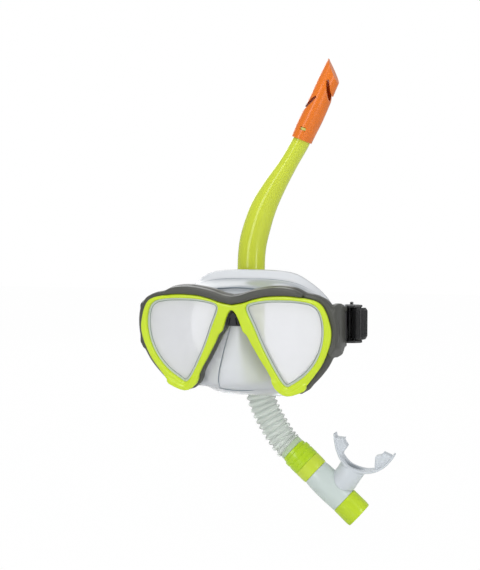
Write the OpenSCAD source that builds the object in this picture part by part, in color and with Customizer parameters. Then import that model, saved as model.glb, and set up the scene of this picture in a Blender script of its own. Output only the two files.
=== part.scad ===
// Snorkel set: twin-lens dive mask with its strap, and a side snorkel with a ribbed hose.
// The mask faces -Y, +X is the wearer's left side, +Z is up.
// The origin is at pupil height in the middle of the face seal's plane.

/* [Mask] */
// Forward lean of the lens plane in degrees
front_pitch = 7; // [5:0.5:9]
// Distance from the face seal to the lens plane
front_y = 62; // [60:0.5:64]
// Thickness of the tempered lens
lens_t = 3.2; // [2.6:0.1:3.2]
// Height of the lime bezel above the lens plane
bezel_h = 2.4; // [1.8:0.1:3]
// Wall of the silicone skirt
skirt_wall = 2; // [1.4:0.1:2.4]
// Width of the inner feather edge of the face seal
feather = 11; // [7:1:12]

/* [Strap] */
// Thickness of the rubber strap
strap_t = 2.4; // [2:0.1:2.6]
// Height of the strap at the buckles
strap_h = 27; // [24:0.5:27]
// Diameter of the buckle pins
pin_d = 2.4; // [2:0.1:2.6]

/* [Snorkel] */
// Distance of the snorkel behind the face seal
snorkel_y = 45; // [45:0.5:48]
// Outer diameter of the straight tube
tube_d = 26.4; // [26:0.1:26.6]
// Wall of the tube
tube_wall = 2; // [1.4:0.1:2.2]
// Number of ribs on the flexible hose
hose_ribs = 12; // [8:1:14]
// Outer diameter of the hose ribs
hose_d = 27.6; // [26:0.2:28]
// Root diameter of the hose
hose_root_d = 22.4; // [21:0.2:23]
// Outer diameter of the mouthpiece barrel
barrel_d = 26.4; // [25.6:0.1:26.6]

/* [Hidden] */
$fn = 48;
back_w = -12;      // rear of the frame, behind the lens plane
pivot = [86.6, -30];
barpos = [96, -16];
pawlpos = [88.2, -13.5];
bar_r = 2.8;          // round bar that the strap turns on

// ---------- curves, lofts and sweeps ----------
function cr(a, b, c, d, t) =
  0.5 * ((2 * b) + (c - a) * t + (2 * a - 5 * b + 4 * c - d) * t * t
  + (3 * b - a - 3 * c + d) * t * t * t);
function ring_curve(p, n) = let(m = len(p))
  [for (i = [0 : m - 1]) for (k = [0 : n - 1])
    cr(p[(i + m - 1) % m], p[i], p[(i + 1) % m], p[(i + 2) % m], k / n)];
function line_curve(p, n) = let(m = len(p)) concat(
  [for (i = [0 : m - 2]) for (k = [0 : n - 1])
    cr(p[max(i - 1, 0)], p[i], p[i + 1], p[min(i + 2, m - 1)], k / n)], [p[m - 1]]);
function unit(v) = v / max(norm(v), 0.000001);
function flat(l) = [for (r = l) for (p = r) p];
function cross2(v) = [v[1], -v[0]];
// an outline moved along its own normals, to its left when positive
function grow(p, d) = let(m = len(p))
  [for (i = [0 : m - 1]) let(t = unit(p[(i + 1) % m] - p[(i + m - 1) % m])) p[i] - cross2(t) * d];
function mirrored(p) = [for (q = p) [-q[0], q[1]]];
// right half of a symmetric outline, from the top middle round to the bottom middle
function whole(p) = concat(p, [for (i = [len(p) - 2 : -1 : 1]) [-p[i][0], p[i][1]]]);

// a solid through rings of points, closed at both ends
module loft(rings) {
  n = len(rings[0]);
  m = len(rings);
  polyhedron(points = flat(rings), faces = concat(
    [[for (i = [0 : n - 1]) i]],
    [[for (i = [n - 1 : -1 : 0]) (m - 1) * n + i]],
    [for (j = [0 : m - 2]) for (i = [0 : n - 1]) [j * n + i, (j + 1) * n + i, j * n + (i + 1) % n]],
    [for (j = [0 : m - 2]) for (i = [0 : n - 1])
      [j * n + (i + 1) % n, (j + 1) * n + i, (j + 1) * n + (i + 1) % n]]));
}
// a solid through rings of points that comes back to its first ring
module loop_loft(rings) {
  n = len(rings[0]);
  m = len(rings);
  polyhedron(points = flat(rings), faces = concat(
    [for (j = [0 : m - 1]) for (i = [0 : n - 1])
      [j * n + i, ((j + 1) % m) * n + i, j * n + (i + 1) % n]],
    [for (j = [0 : m - 1]) for (i = [0 : n - 1])
      [j * n + (i + 1) % n, ((j + 1) % m) * n + i, ((j + 1) % m) * n + (i + 1) % n]]));
}
// an oval ring square to a path in the snorkel's own plane: c = [x, z], t = direction
function oval(c, t, a, b, n, y = snorkel_y) =
  [for (i = [0 : n - 1]) let(w = 360 * i / n)
    [c[0] + t[1] * a * cos(w), y + b * sin(w), c[1] - t[0] * a * cos(w)]];
function heading(p, i) = unit([p[min(i + 1, len(p) - 1)][0] - p[max(i - 1, 0)][0],
  p[min(i + 1, len(p) - 1)][1] - p[max(i - 1, 0)][1]]);

// the lens plane: local x to the right, y up along the plane, z out of the mask
module on_front() {
  translate([0, -front_y, 0]) rotate([90 + front_pitch, 0, 0]) children();
}
module slab(outline, w0, w1) {
  translate([0, 0, w0]) linear_extrude(w1 - w0) polygon(outline);
}
module both_sides() {
  children();
  mirror([1, 0, 0]) children();
}
module on_side(s) {
  mirror([s < 0 ? 1 : 0, 0, 0]) children();
}

// ---------- outlines in the lens plane ----------
opening = ring_curve([[12.4, 18.5], [16, 22.2], [30, 25], [45, 25.6], [58, 25], [69, 22.9],
  [74.8, 18], [77.6, 10], [78.3, 0], [77, -10], [74, -19.2], [69, -28.2], [61, -37.4],
  [50.5, -45], [45.6, -47.4], [41, -44], [33.5, -31.3], [25, -14.2], [18.5, 2], [13.6, 13]], 3);
bezel_top = [[0, 20.8], [10, 22.6], [19, 25.6], [30, 28.1], [44, 29], [55, 28.5], [64, 27.2],
  [72, 25.3], [77, 22], [80.5, 16], [83, 8], [84.4, 0], [83.4, -9], [80.4, -18], [76, -27.5],
  [70, -36], [64.5, -43.2]];
bezel_foot = [[62.3, -45.5], [62.3, -48], [60.5, -50], [55, -52.6], [50, -54.4], [46, -55],
  [42.5, -54.4], [39, -52.4], [35.2, -48.8], [33, -44.6], [32.4, -40.8]];
bezel_nose = [[28.5, -33.2], [25, -27.8], [22, -22.6], [19, -17.3], [16, -12], [12.6, -5]];
bezel_notch = [[9, -1.5], [7.4, 3], [6, 7.6], [3.5, 13.2], [1.4, 15.7], [0, 16.2]];
bezel_outline = whole(concat(line_curve(bezel_top, 3), bezel_foot, bezel_nose, bezel_notch));
frame_half = concat(line_curve([[0, 27.8], [8, 29.2], [17, 32.3], [26, 34.3], [37, 35.8],
  [47, 35.6], [54.5, 34.2], [59, 32.2], [64, 31.4], [70, 31], [75.5, 28.6], [81, 24.8],
  [84.6, 18], [86.8, 10], [87.8, 0], [86.8, -10], [83.6, -20], [78.8, -29.6], [72.4, -38],
  [66, -44.8]], 2), [[62.8, -48.8], [55.6, -53.2], [46, -55.8], [38.8, -53.4], [34.2, -49.4],
  [31.8, -44.6], [31.2, -40.6], [27.4, -33.2], [24, -28], [20.9, -22.6], [15, -12],
  [11.4, -5], [8, -1.4], [6.4, 3.2], [5, 7.4], [2.6, 12.4], [0, 14.8]]);
frame_outline = whole(frame_half);
// the brow bar: the frame's upper rim above the bezel
bar_outline = whole(concat(line_curve([[0, 27.8], [8, 29.2], [17, 32.3], [26, 34.3],
  [37, 35.8], [47, 35.6], [54.5, 34.2], [59, 32.2], [64, 31.4], [70, 31], [75.5, 28.6],
  [81, 24.8], [84.6, 18], [86.8, 10], [87.8, 0]], 2), [[84.7, 0], [83.3, 8.2], [80.8, 16.3],
  [77.2, 22.4], [72.1, 25.7], [64, 27.6], [55, 28.9], [44, 29.4], [30, 28.6], [19, 26.1],
  [10, 23.1], [0, 21.3]]));

// ---------- mask ----------
// hollow ring that carries both lenses, with the brow bar and the side arms
module arm() {
  intersection() {
    translate([0, 0, -30]) linear_extrude(60) polygon([[81.6, -54], [88.4, -56.5],
      [89.4, -50], [89.6, -42], [89.4, -33.6], [83.7, -33.6], [83.2, -40], [82.4, -46]]);
    translate([78, 0, 0]) rotate([90, 0, 90]) linear_extrude(14) polygon([[-60, 23.6],
      [-52, 23.4], [-44, 22.4], [-36, 20.8], [-30, 20], [-30, -14.6], [-34, -15.2],
      [-38, -17.6], [-43, -20.6], [-48, -21.8], [-60, -19.6]]);
  }
  // hinge lugs above and below the buckle knuckle
  for (z = [[14.7, 19.6], [-14.4, -9.7]]) {
    difference() {
      translate([0, 0, z[0]]) union() {
        translate([pivot[0], pivot[1], 0]) cylinder(r = 3, h = z[1] - z[0]);
        translate([pivot[0] - 2.9, -34.4, 0]) cube([5.8, 4.4, z[1] - z[0]]);
      }
      translate([pivot[0], pivot[1], z[0] - 1]) cylinder(d = pin_d, h = 8);
    }
  }
}
module frame() {
  seat = grow(opening, 1.5);
  ledge = grow(opening, -0.4);
  color([0.28, 0.29, 0.26]) union() {
    on_front() {
      difference() {
        union() {
          slab(frame_outline, back_w, -2.2);
          slab(grow(frame_outline, 0.5), back_w + 2, -3.4);
        }
        slab(ledge, back_w - 1, 1);
        slab(mirrored(ledge), back_w - 1, 1);
        slab(seat, -5.3, 1);
        slab(mirrored(seat), -5.3, 1);
      }
      // brow bar, stepped so that it reads as a rounded brow
      slab(bar_outline, -3, 1.6);
      intersection() {
        slab(bar_outline, -3, 3);
        slab(whole([[0, 26.7], [8, 28], [17, 31], [26, 33], [37, 34.6], [47, 34.4], [55, 32.8],
          [60, 31], [70, 29.6], [75, 27.2], [80, 23.6], [83, 17], [84.2, 10], [86, 8], [80, -5],
          [0, -5]]), -3, 2.8);
      }
    }
    both_sides() arm();
  }
}

// black web between the two lens rims, over the nose
module bridge_clip() {
  color([0.06, 0.06, 0.07]) on_front() {
    difference() {
      slab([[-0.1, 14], [-2, 12.2], [-4.4, 7.2], [-5.8, 3], [-6, 2.4], [6, 2.4],
        [5.8, 3], [4.4, 7.2], [2, 12.2], [0.1, 14]], -7.2, -1.4);
      for (m = [0, 1]) mirror([m, 0, 0]) slab([[2.6, 3.6], [4.6, 3.6], [2.9, 9.4], [2, 9.4]], -3, 0);
    }
  }
}

// lime bezel: one moulding round both lenses that snaps on the frame with a foot each side
module bezel() {
  color([0.8, 0.86, 0.2]) on_front() difference() {
    union() {
      slab(bezel_outline, -2.1, bezel_h - 0.9);
      slab(grow(bezel_outline, -0.55), bezel_h - 1, bezel_h - 0.4);
      slab(grow(bezel_outline, -1.2), bezel_h - 0.5, bezel_h);
      // the foot wraps down over the frame's lower corner
      both_sides() slab(concat([[64.2, -43.6]], bezel_foot, [[38, -42], [50, -50], [60, -43]]),
        -2.1, bezel_h + 0.8);
    }
    slab(opening, -4, 6);
    slab(mirrored(opening), -4, 6);
    slab(grow(opening, 0.7), bezel_h - 0.8, 6);
    slab(mirrored(grow(opening, 0.7)), bezel_h - 0.8, 6);
    slab(grow(opening, 1.5), -4, -0.95);
    slab(mirrored(grow(opening, 1.5)), -4, -0.95);
  }
}

module lens(s) {
  color([0.88, 0.9, 0.93, 0.5]) on_side(s) on_front() {
    slab(grow(opening, 1.3), -1.05 - lens_t, -1.35);
    slab(grow(opening, 0.9), -1.4, -1.05);
  }
}
module lens_left() lens(1);
module lens_right() lens(-1);

// thin seal behind each lens
module gasket(s) {
  color([0.55, 0.6, 0.58]) on_side(s) on_front() difference() {
    slab(grow(opening, 1.3), -5.25, -4.3);
    slab(grow(opening, -0.2), -7, 0);
  }
}
module gasket_left() gasket(1);
module gasket_right() gasket(-1);

// silicone skirt: each station runs from the frame's rear, over the wall, to the face seal.
// half stations from the brow round the temple to the upper lip, rows front to back:
// lip, lip edge, front wall, mid wall, root of the seal, outer seal edge
function lip(x, z) = [x, -front_y + 12.2 - 0.1228 * z, z];
skirt_half = [
  [lip(0, 23.5), lip(0, 25.6), [0, -50.6, 34], [0, -36, 37.4], [0, -22, 39.8], [0, -13, 49]],
  [lip(19, 27), lip(19, 28.8), [19, -50, 33], [20, -36, 36.6], [21, -22, 39.5], [22, -13, 48.6]],
  [lip(40, 28.6), lip(40, 30.4), [40, -48, 32.4], [40, -36, 34.6], [40, -21.5, 37],
    [39.5, -13, 46]],
  [lip(57, 27), lip(57, 28.6), [56, -46, 29.8], [55, -34, 31], [53.5, -19.5, 31.8],
    [52.6, -11, 38.4]],
  [lip(70, 23.8), lip(70, 25), [67.8, -44, 24.8], [66, -31, 25], [63.5, -16, 25],
    [63.4, -7, 28.6]],
  [lip(78, 16.2), lip(79, 16.6), [75.6, -42, 15.6], [73, -28, 15.2], [70.5, -13, 15],
    [71.5, -3, 16.4]],
  [lip(80.4, 1), lip(81.2, 1), [77.8, -40, 1], [75.5, -27, 1], [73.5, -11.5, 1], [75, -1.5, 1]],
  [lip(79, -14), lip(79.6, -14.4), [76.2, -38, -14], [74, -26, -14], [72.5, -11.5, -14],
    [74.2, -1, -14.5]],
  [lip(73.4, -27), lip(74, -27.6), [71.2, -37, -27], [69, -26, -27], [67.8, -12, -27],
    [69.4, -1.5, -28.4]],
  [lip(66, -38.4), lip(66.6, -39.2), [63.4, -36, -38], [61.5, -26, -38], [60.5, -14, -38.6],
    [61.4, -3.5, -41]],
  [lip(56.6, -47.6), lip(57, -48.4), [54.2, -36, -47.4], [53, -27, -47.4], [52.5, -17, -48],
    [53, -6.5, -51]],
  [lip(46, -51.6), lip(46, -52.6), [45, -37, -52.4], [44.5, -29, -52.8], [44.5, -20, -53.4],
    [45, -10, -57.6]],
  [lip(36.6, -46.6), lip(33.8, -49.8), [32.4, -41.6, -51.6], [33, -35, -54.2],
    [35, -24, -56.6], [36, -12.5, -60.8]],
  [lip(31, -36), lip(28.4, -37.4), [21, -50.6, -40], [21.4, -47.6, -50.8], [27, -31, -57.4],
    [27.5, -15, -62.2]],
  [lip(20.6, -16.8), lip(17, -18.4), [13.4, -53, -27], [15.6, -52, -51.4], [18, -32, -58.4],
    [18, -15.6, -62.8]],
  [lip(12, -0.6), lip(8.4, -5.6), [7.2, -54, -18], [8, -53.2, -52.2], [9, -33, -58.6],
    [9, -16, -62.8]],
  [lip(0, 18), lip(0, 13.4), [0, -54.2, -8], [0, -53.4, -52.4], [0, -33.5, -58.8],
    [0, -16, -62.6]]];
skirt_rows = [for (k = [0 : 5]) ring_curve(concat([for (s = skirt_half) s[k]],
  [for (i = [15 : -1 : 1]) let(p = skirt_half[i][k]) [-p[0], p[1], p[2]]]), 2)];
function skirt_normal(j, k) = let(n = len(skirt_rows[0]),
  a = skirt_rows[k][(j + 1) % n] - skirt_rows[k][(j + n - 1) % n],
  b = skirt_rows[min(k + 1, 5)][j] - skirt_rows[max(k - 1, 0)][j]) unit(cross(b, a));
// width of the inner feather edge: narrow under the nose
function feather_at(j) = let(z = skirt_rows[5][j][2], x = abs(skirt_rows[5][j][0]))
  z < -40 && x < 46 ? feather * 0.45 : feather;
module skirt() {
  n = len(skirt_rows[0]);
  function pt(j, k) = skirt_rows[k][j];
  function inn(j, k, d) = pt(j, k) + skirt_normal(j, k) * d;
  function lip_in(j) = let(v = skirt_normal(j, 1))
    pt(j, 1) + unit([v[0], max(v[1], 0), v[2]]) * skirt_wall * 0.9 + [0, 0.1, 0];
  rings = [for (j = [0 : n - 1]) let(nr = skirt_normal(j, 4), f = feather_at(j),
      fin = unit([nr[0], 0, nr[2]])) [
    pt(j, 0), pt(j, 1), pt(j, 2), pt(j, 3), pt(j, 4), pt(j, 5),
    pt(j, 5) + [0, 1.2, 0],
    pt(j, 4) + fin * 1.6 + [0, 6, 0],
    pt(j, 4) + fin * f + [0, 10.4, 0],
    pt(j, 4) + fin * f + [0, 9.2, 0],
    pt(j, 4) + fin * 3 + [0, 1, 0],
    inn(j, 3, skirt_wall), inn(j, 2, skirt_wall), lip_in(j),
    pt(j, 0) + [0, skirt_wall * 0.9, 0]]];
  color([0.88, 0.9, 0.92, 0.6]) loop_loft([for (r = rings) [for (i = [len(r) - 1 : -1 : 0]) r[i]]]);
}

// ---------- buckles and strap ----------
module buckle_body(s) {
  color([0.05, 0.05, 0.06]) on_side(s) difference() {
    union() {
      // knuckle and inner web
      translate([pivot[0], pivot[1], -9.4]) cylinder(r = 2.8, h = 23.8);
      translate([0, 0, -9.4]) linear_extrude(23.8) polygon([[83.8, -30], [86.6, -31.8],
        [86.8, -26], [86.1, -24], [86.1, -9], [84.2, -9], [83.8, -20]]);
      translate([0, 0, -12.2]) linear_extrude(31.7) polygon([[84, -25.2], [86.1, -25.2],
        [86.1, -9], [84.2, -9]]);
      // upper and lower side plates that hold the bar and the pawl
      for (z = [[17.9, 19.5], [-12.2, -10.4]]) translate([0, 0, z[0]])
        linear_extrude(z[1] - z[0]) polygon([[84, -25.2], [90, -24.8], [95, -22.8],
          [98.6, -20], [99.6, -16], [98.6, -12.6], [95, -10], [90, -8.4], [84.2, -8.4]]);
    }
    translate([pivot[0], pivot[1], -20]) cylinder(d = pin_d + 0.1, h = 50);
    translate([barpos[0], barpos[1], -20]) cylinder(r = 1.5, h = 50);
    translate([pawlpos[0], pawlpos[1], -20]) cylinder(r = 0.8, h = 50);
  }
}
module buckle_body_left() buckle_body(1);
module buckle_body_right() buckle_body(-1);

module buckle_pin(s) {
  color([0.75, 0.76, 0.78]) on_side(s) translate([pivot[0], pivot[1], -14.2]) {
    translate([0, 0, -1]) cylinder(d = pin_d + 1.4, h = 0.75);
    translate([0, 0, 33.85]) cylinder(d = pin_d + 1.4, h = 0.75);
    translate([0, 0, -1]) cylinder(d = pin_d, h = 35.6);
  }
}
module buckle_pin_left() buckle_pin(1);
module buckle_pin_right() buckle_pin(-1);

module strap_bar(s) {
  color([0.1, 0.1, 0.11]) on_side(s) translate([barpos[0], barpos[1], -10.3]) {
    cylinder(r = bar_r, h = 28.1);
    translate([0, 0, -1.8]) cylinder(r = 1.5, h = 31.5);
  }
}
module strap_bar_left() strap_bar(1);
module strap_bar_right() strap_bar(-1);

// toothed release lever that bites the strap's ribs inside the buckle
module lock_pawl(s) {
  color([0.12, 0.12, 0.13]) on_side(s) difference() {
    union() {
      translate([pawlpos[0], pawlpos[1], -10.1]) cylinder(r = 1.5, h = 27.7);
      translate([0, 0, -10.1]) linear_extrude(27.7) polygon([[87.1, -13.5], [89.1, -13.5],
        [89.3, -9.4], [90, -9.2], [89.3, -8], [90, -7.8], [89.3, -6.6], [90, -6.4],
        [89.3, -5.2], [88.8, -2], [87.4, 2.6], [85.8, 2.6], [87, -3], [87.1, -9]]);
      // thumb ears above and below the strap
      for (z = [[17.4, 21], [-14, -9.9]]) translate([0, 0, z[0]]) linear_extrude(z[1] - z[0])
        polygon([[88.9, -6.8], [88.6, -1.6], [87.4, 2.6], [85.4, 2.6], [86.4, -3], [86.8, -6.8]]);
    }
    translate([pawlpos[0], pawlpos[1], -20]) cylinder(r = 0.85, h = 50);
  }
}
module lock_pawl_left() lock_pawl(1);
module lock_pawl_right() lock_pawl(-1);

module pawl_pin(s) {
  color([0.75, 0.76, 0.78]) on_side(s) translate([pawlpos[0], pawlpos[1], -12.2])
    cylinder(r = 0.8, h = 31.7);
}
module pawl_pin_left() pawl_pin(1);
module pawl_pin_right() pawl_pin(-1);

// strap route, right half from the ribbed tail round the bar to the back of the head:
// x, y, height of the middle, half height
strap_side = [[101.2, 15, 3.8, 11.5], [101.4, 8, 3.8, 13.4], [100.9, 0, 3.8, 13.5],
  [100.5, -9, 3.8, 13.5], [100.45, -16, 3.8, 13.5], [99.15, -19.15, 3.8, 13.5],
  [96, -20.45, 3.8, 13.5], [92.85, -19.15, 3.8, 13.5], [91.55, -16, 3.8, 13.5],
  [91.5, -8, 3.8, 13.5], [91.2, 0, 4.4, 13.2], [89.4, 7, 6.4, 12.2], [84, 14, 11.6, 11.2],
  [74, 19.2, 20, 10.8], [61, 23, 27.6, 11], [46, 25, 31.4, 11.6], [28, 25.6, 32.4, 12],
  [10, 25.6, 32.4, 12]];
strap_path = line_curve([for (p = strap_side) [p[0], p[1], p[2], p[3] * strap_h / 27]], 2);
function strap_dir(i) = let(n = len(strap_path), a = strap_path[max(i - 1, 0)],
  b = strap_path[min(i + 1, n - 1)]) unit([b[0] - a[0], b[1] - a[1]]);
function band_ring(i) = let(p = strap_path[i], d = strap_dir(i),
    h = [-d[1], d[0]] * strap_t / 2, z0 = p[2] - p[3], z1 = p[2] + p[3])
  [for (q = [[0, z0], [-1, z0 + 0.5], [-1, z1 - 0.5], [0, z1], [1, z1 - 0.5], [1, z0 + 0.5]])
    [p[0] + h[0] * q[0], p[1] + h[1] * q[0], q[1]]];
module strap() {
  half = [for (i = [0 : len(strap_path) - 1]) band_ring(i)];
  color([0.07, 0.07, 0.08]) difference() {
    loft(concat(half, [for (k = [len(half) - 1 : -1 : 0]) [for (q = half[k]) [-q[0], q[1], q[2]]]]));
    // the back is split in two bands
    for (x = [-40, 40]) translate([x, 10, 32.4]) rotate([-90, 0, 0]) cylinder(r = 1.8, h = 30);
    translate([-40, 10, 30.6]) cube([80, 30, 3.6]);
  }
}

// ---------- snorkel keeper ----------
keep_x = -21.2;
keep_y = 25.6;
keep_z = 32.4;
// clip that rides along the back of the strap
module keeper_clip() {
  color([0.09, 0.09, 0.1]) translate([keep_x, keep_y, keep_z]) difference() {
    union() {
      translate([-8, -3.2, -14.2]) cube([16, 6.2, 28.4]);
      translate([-6, -3.2, -14.8]) cube([12, 6.2, 29.6]);
      rotate([-90, 0, 0]) cylinder(r = 3.2, h = 5);
    }
    translate([-9, -1.5, -12.4]) cube([18, 3, 24.8]);
    // open jaws on the inner side, so that the clip snaps over the band
    translate([-9, -4, -7]) cube([18, 3, 14]);
  }
}
// ring round the tube, with the hub that turns on the clip's boss
module keeper_ring() {
  hub = keep_y - snorkel_y + 3.4;
  color([0.09, 0.09, 0.1]) translate([keep_x, snorkel_y, keep_z]) difference() {
    union() {
      translate([0, 0, -6.5]) cylinder(r = tube_d / 2 + 2.2, h = 13);
      translate([0, hub, 0]) rotate([-90, 0, 0]) cylinder(r = 5.4, h = 4.2);
    }
    translate([0, 0, -20]) cylinder(r = tube_d / 2 + 0.06, h = 40);
    translate([0, hub - 1, 0]) rotate([-90, 0, 0]) cylinder(r = 3.26, h = 3);
    // split at the back so that it springs open
    translate([-0.8, 8, -10]) cube([1.6, 10, 20]);
  }
}

// ---------- snorkel ----------
// tube route: x, z, half width across, half depth along Y
tube_side = [[-13.8, -63.1, 1, 1], [-17.7, -46, 1, 1], [-20.5, -25, 1, 1], [-21.2, -8, 1, 1],
  [-21.2, 20, 1, 1], [-21.2, 48, 1, 1], [-20.3, 65, 1, 1], [-17.4, 80, 1, 1],
  [-9.8, 103, 0.96, 0.99], [0, 123, 0.9, 0.97], [13.2, 147, 0.79, 0.92], [27.8, 166, 0.665, 0.86],
  [32.8, 177.4, 0.64, 0.84]];
tube_path = line_curve(tube_side, 2);
function tube_rings(r, i0, i1, off) = [for (i = [i0 : i1]) let(p = tube_path[i])
  oval([p[0], p[1]], heading(tube_path, i), r * p[2] + off, r * p[3] + off, 20)];
module snorkel_tube() {
  n = len(tube_path);
  r = tube_d / 2 - 0.15;
  e0 = heading(tube_path, 0);
  e1 = heading(tube_path, n - 1);
  color([0.8, 0.85, 0.2]) difference() {
    union() {
      loft(tube_rings(r, 0, n - 1, 0));
      // round journal where the keeper holds it
      translate([keep_x, snorkel_y, keep_z - 9]) cylinder(r = tube_d / 2, h = 18);
      // catch that snaps into the splash cap
      translate([33, snorkel_y - 10.4, 176]) rotate([0, 23.6, 0]) cube([5, 1.8, 2.4], center = true);
    }
    loft(concat([oval([tube_path[0][0], tube_path[0][1]] - e0 * 1, e0, r - tube_wall, r - tube_wall, 20)],
      tube_rings(r, 1, n - 2, -tube_wall),
      [oval([tube_path[n - 1][0], tube_path[n - 1][1]] + e1 * 1, e1,
        r * 0.64 - tube_wall, r * 0.84 - tube_wall, 20)]));
  }
}

// orange splash cap, in its own axis: q across, s along
cap_base = [28.4, 167.3];
cap_dir = [0.4, 0.9165];
cap_spine = [[0, 0, 10, 12.9], [0.4, 10, 10.4, 13.2], [1.2, 22, 10.6, 13.4], [2, 38, 10, 13.4],
  [2.2, 58, 9.6, 13], [3.4, 80, 9.6, 12.4]];
function cap_rings(off) = [for (p = cap_spine)
  oval(cap_base + cap_dir * p[1] + [cap_dir[1], -cap_dir[0]] * p[0], cap_dir,
    p[2] + off, p[3] + off, 24)];
module in_cap(w) {
  translate([cap_base[0], snorkel_y, cap_base[1]])
    rotate([90, atan2(cap_dir[0], cap_dir[1]), 0]) translate([0, 0, -w]) linear_extrude(2 * w)
      children();
}
module splash_cap() {
  color([0.92, 0.47, 0.08]) difference() {
    loft(cap_rings(0));
    difference() {
      loft([for (i = [0 : 4]) let(p = cap_spine[i], z = [-1, 10, 22, 38, 56][i])
        oval(cap_base + cap_dir * z + [cap_dir[1], -cap_dir[0]] * p[0], cap_dir,
          p[2] - 1.3, p[3] - 1.4, 24)]);
      // partition that turns splashes away
      in_cap(20) polygon([[-20, 30], [-4, 33], [3, 42], [-1, 43], [-7, 38], [-20, 37]]);
    }
    // slanted crown
    in_cap(20) polygon([[-5.4, 79.6], [-4.6, 78], [11.4, 62], [12.6, 59], [13.4, 45.6], [20, 44],
      [20, 100], [-20, 100], [-20, 83]]);
    // two splash notches
    in_cap(20) polygon([[-30, 23.8], [-8.1, 23.8], [-4.3, 29.7], [-1, 34.8], [1.2, 40.4],
      [-0.4, 41.6], [-3.6, 37.4], [-8.1, 29.3], [-30, 29.3]]);
    in_cap(20) polygon([[30, 41.2], [10.6, 41.2], [5.3, 52], [3.2, 57.4], [4.2, 59.2],
      [5.6, 58], [12, 45.2], [30, 45.2]]);
    // window for the catch
    translate([33, snorkel_y - 12, 176]) rotate([0, 23.6, 0]) cube([5.6, 5, 3], center = true);
  }
}

// ribbed hose: x, z of the route
bend = [[-13.7, -63.5], [-9, -80.6], [0.8, -99], [12.2, -115.3], [20.7, -122.8]];
hose_path = line_curve(bend, 12);
function hose_at(f) = let(i = f * (len(hose_path) - 1), k = min(floor(i), len(hose_path) - 2))
  hose_path[k] + (hose_path[k + 1] - hose_path[k]) * (i - k);
function hose_dir(f) = unit(hose_at(min(f + 0.03, 1)) - hose_at(max(f - 0.03, 0)));
module hose() {
  n = hose_ribs;
  f0 = 0.05;
  f1 = 0.96;
  root = hose_root_d / 2;
  crest = hose_d / 2;
  d0 = hose_dir(0);
  d1 = [0.7507, -0.6607];
  // plain plugs at both ends, then one rib after another
  ribs = flat([for (k = [0 : n - 1]) let(a = f0 + (f1 - f0) * (k + 0.25) / n,
      b = f0 + (f1 - f0) * (k + 0.75) / n)
    [oval(hose_at(a), hose_dir(a), root, root, 16), oval(hose_at(b), hose_dir(b), crest, crest, 16)]]);
  outside = concat([oval(hose_at(0) - d0 * 8, d0, 10.4, 10.4, 16), oval(hose_at(0), d0, 10.4, 10.4, 16),
    oval(hose_at(0) + d0 * 0.1, d0, root, root, 16)], ribs,
    [oval(hose_at(1) - d1 * 0.1, d1, root, root, 16), oval(hose_at(1), d1, 10.9, 10.9, 16),
    oval(hose_at(1) + d1 * 9, d1, 10.9, 10.9, 16)]);
  bore = concat([oval(hose_at(1) + d1 * 9, d1, 9, 9, 16)],
    [for (k = [8 : -1 : 0]) oval(hose_at(k / 8), hose_dir(k / 8), 9, 9, 16)],
    [oval(hose_at(0) - d0 * 8, d0, 9, 9, 16)]);
  color([0.82, 0.88, 0.82, 0.6]) loop_loft(concat(outside, bore));
}

// barrel axis: local z along the barrel, local x up towards the mouthpiece
module along_barrel() {
  translate([22, snorkel_y, -123.9]) rotate([0, 131.35, 0]) rotate([0, 0, 180]) children();
}
module turned(profile) {
  rotate_extrude($fn = 64) polygon(profile);
}
// lime coupling on the end of the hose, with two grip rings
module swivel_nut() {
  color([0.72, 0.84, 0.12]) along_barrel() turned([[11.05, -1.4], [12.6, -1.4], [12.9, 1.2],
    [12.9, 2], [14, 2.4], [14.2, 3], [14.2, 6.8], [13.7, 7.2], [13.7, 8.2], [14.2, 8.6], [14.2, 15.6],
    [13.6, 16.4], [12.05, 16.4], [12.05, 8], [11.05, 8]]);
}
// lighter ring that retains the barrel's collar
module nut_ring() {
  color([0.84, 0.9, 0.3]) along_barrel() difference() {
    turned([[12.05, 16.5], [13.9, 16.5], [14.1, 17], [14, 24], [13.7, 27.4], [13.4, 27.8], [12.05, 27.8]]);
    for (w = [0 : 30 : 330]) rotate([0, 0, w]) translate([14.2, -0.5, 18]) cube([1, 1, 7]);
  }
}

// milky barrel with the side port for the mouthpiece
module barrel() {
  r = barrel_d / 2;
  color([0.8, 0.87, 0.84, 0.8]) along_barrel() difference() {
    union() {
      translate([0, 0, 8.4]) cylinder(r = 12, h = 20);
      translate([0, 0, 0]) turned([[0, 28.1], [13.1, 28.1], [13.7, 32], [14.1, 40], [14, 50],
        [13.6, 58], [13.2, 64], [0, 64]]);
      translate([0, 0, 63]) cylinder(r = 11.6, h = 12);
      // side port
      translate([8, 0, 52]) rotate([0, 90, 0]) cylinder(r = 9.4, h = 13.8);
      translate([20.2, 0, 52]) rotate([0, 90, 0]) cylinder(r = 10, h = 1.6);
    }
    translate([0, 0, 0]) cylinder(r = 10.2, h = 30);
    translate([0, 0, 29]) cylinder(r = 11.4, h = 34);
    translate([0, 0, 60]) cylinder(r = 9.8, h = 20);
    translate([2, 0, 52]) rotate([0, 90, 0]) cylinder(r = 7.6, h = 30);
  }
}

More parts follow.
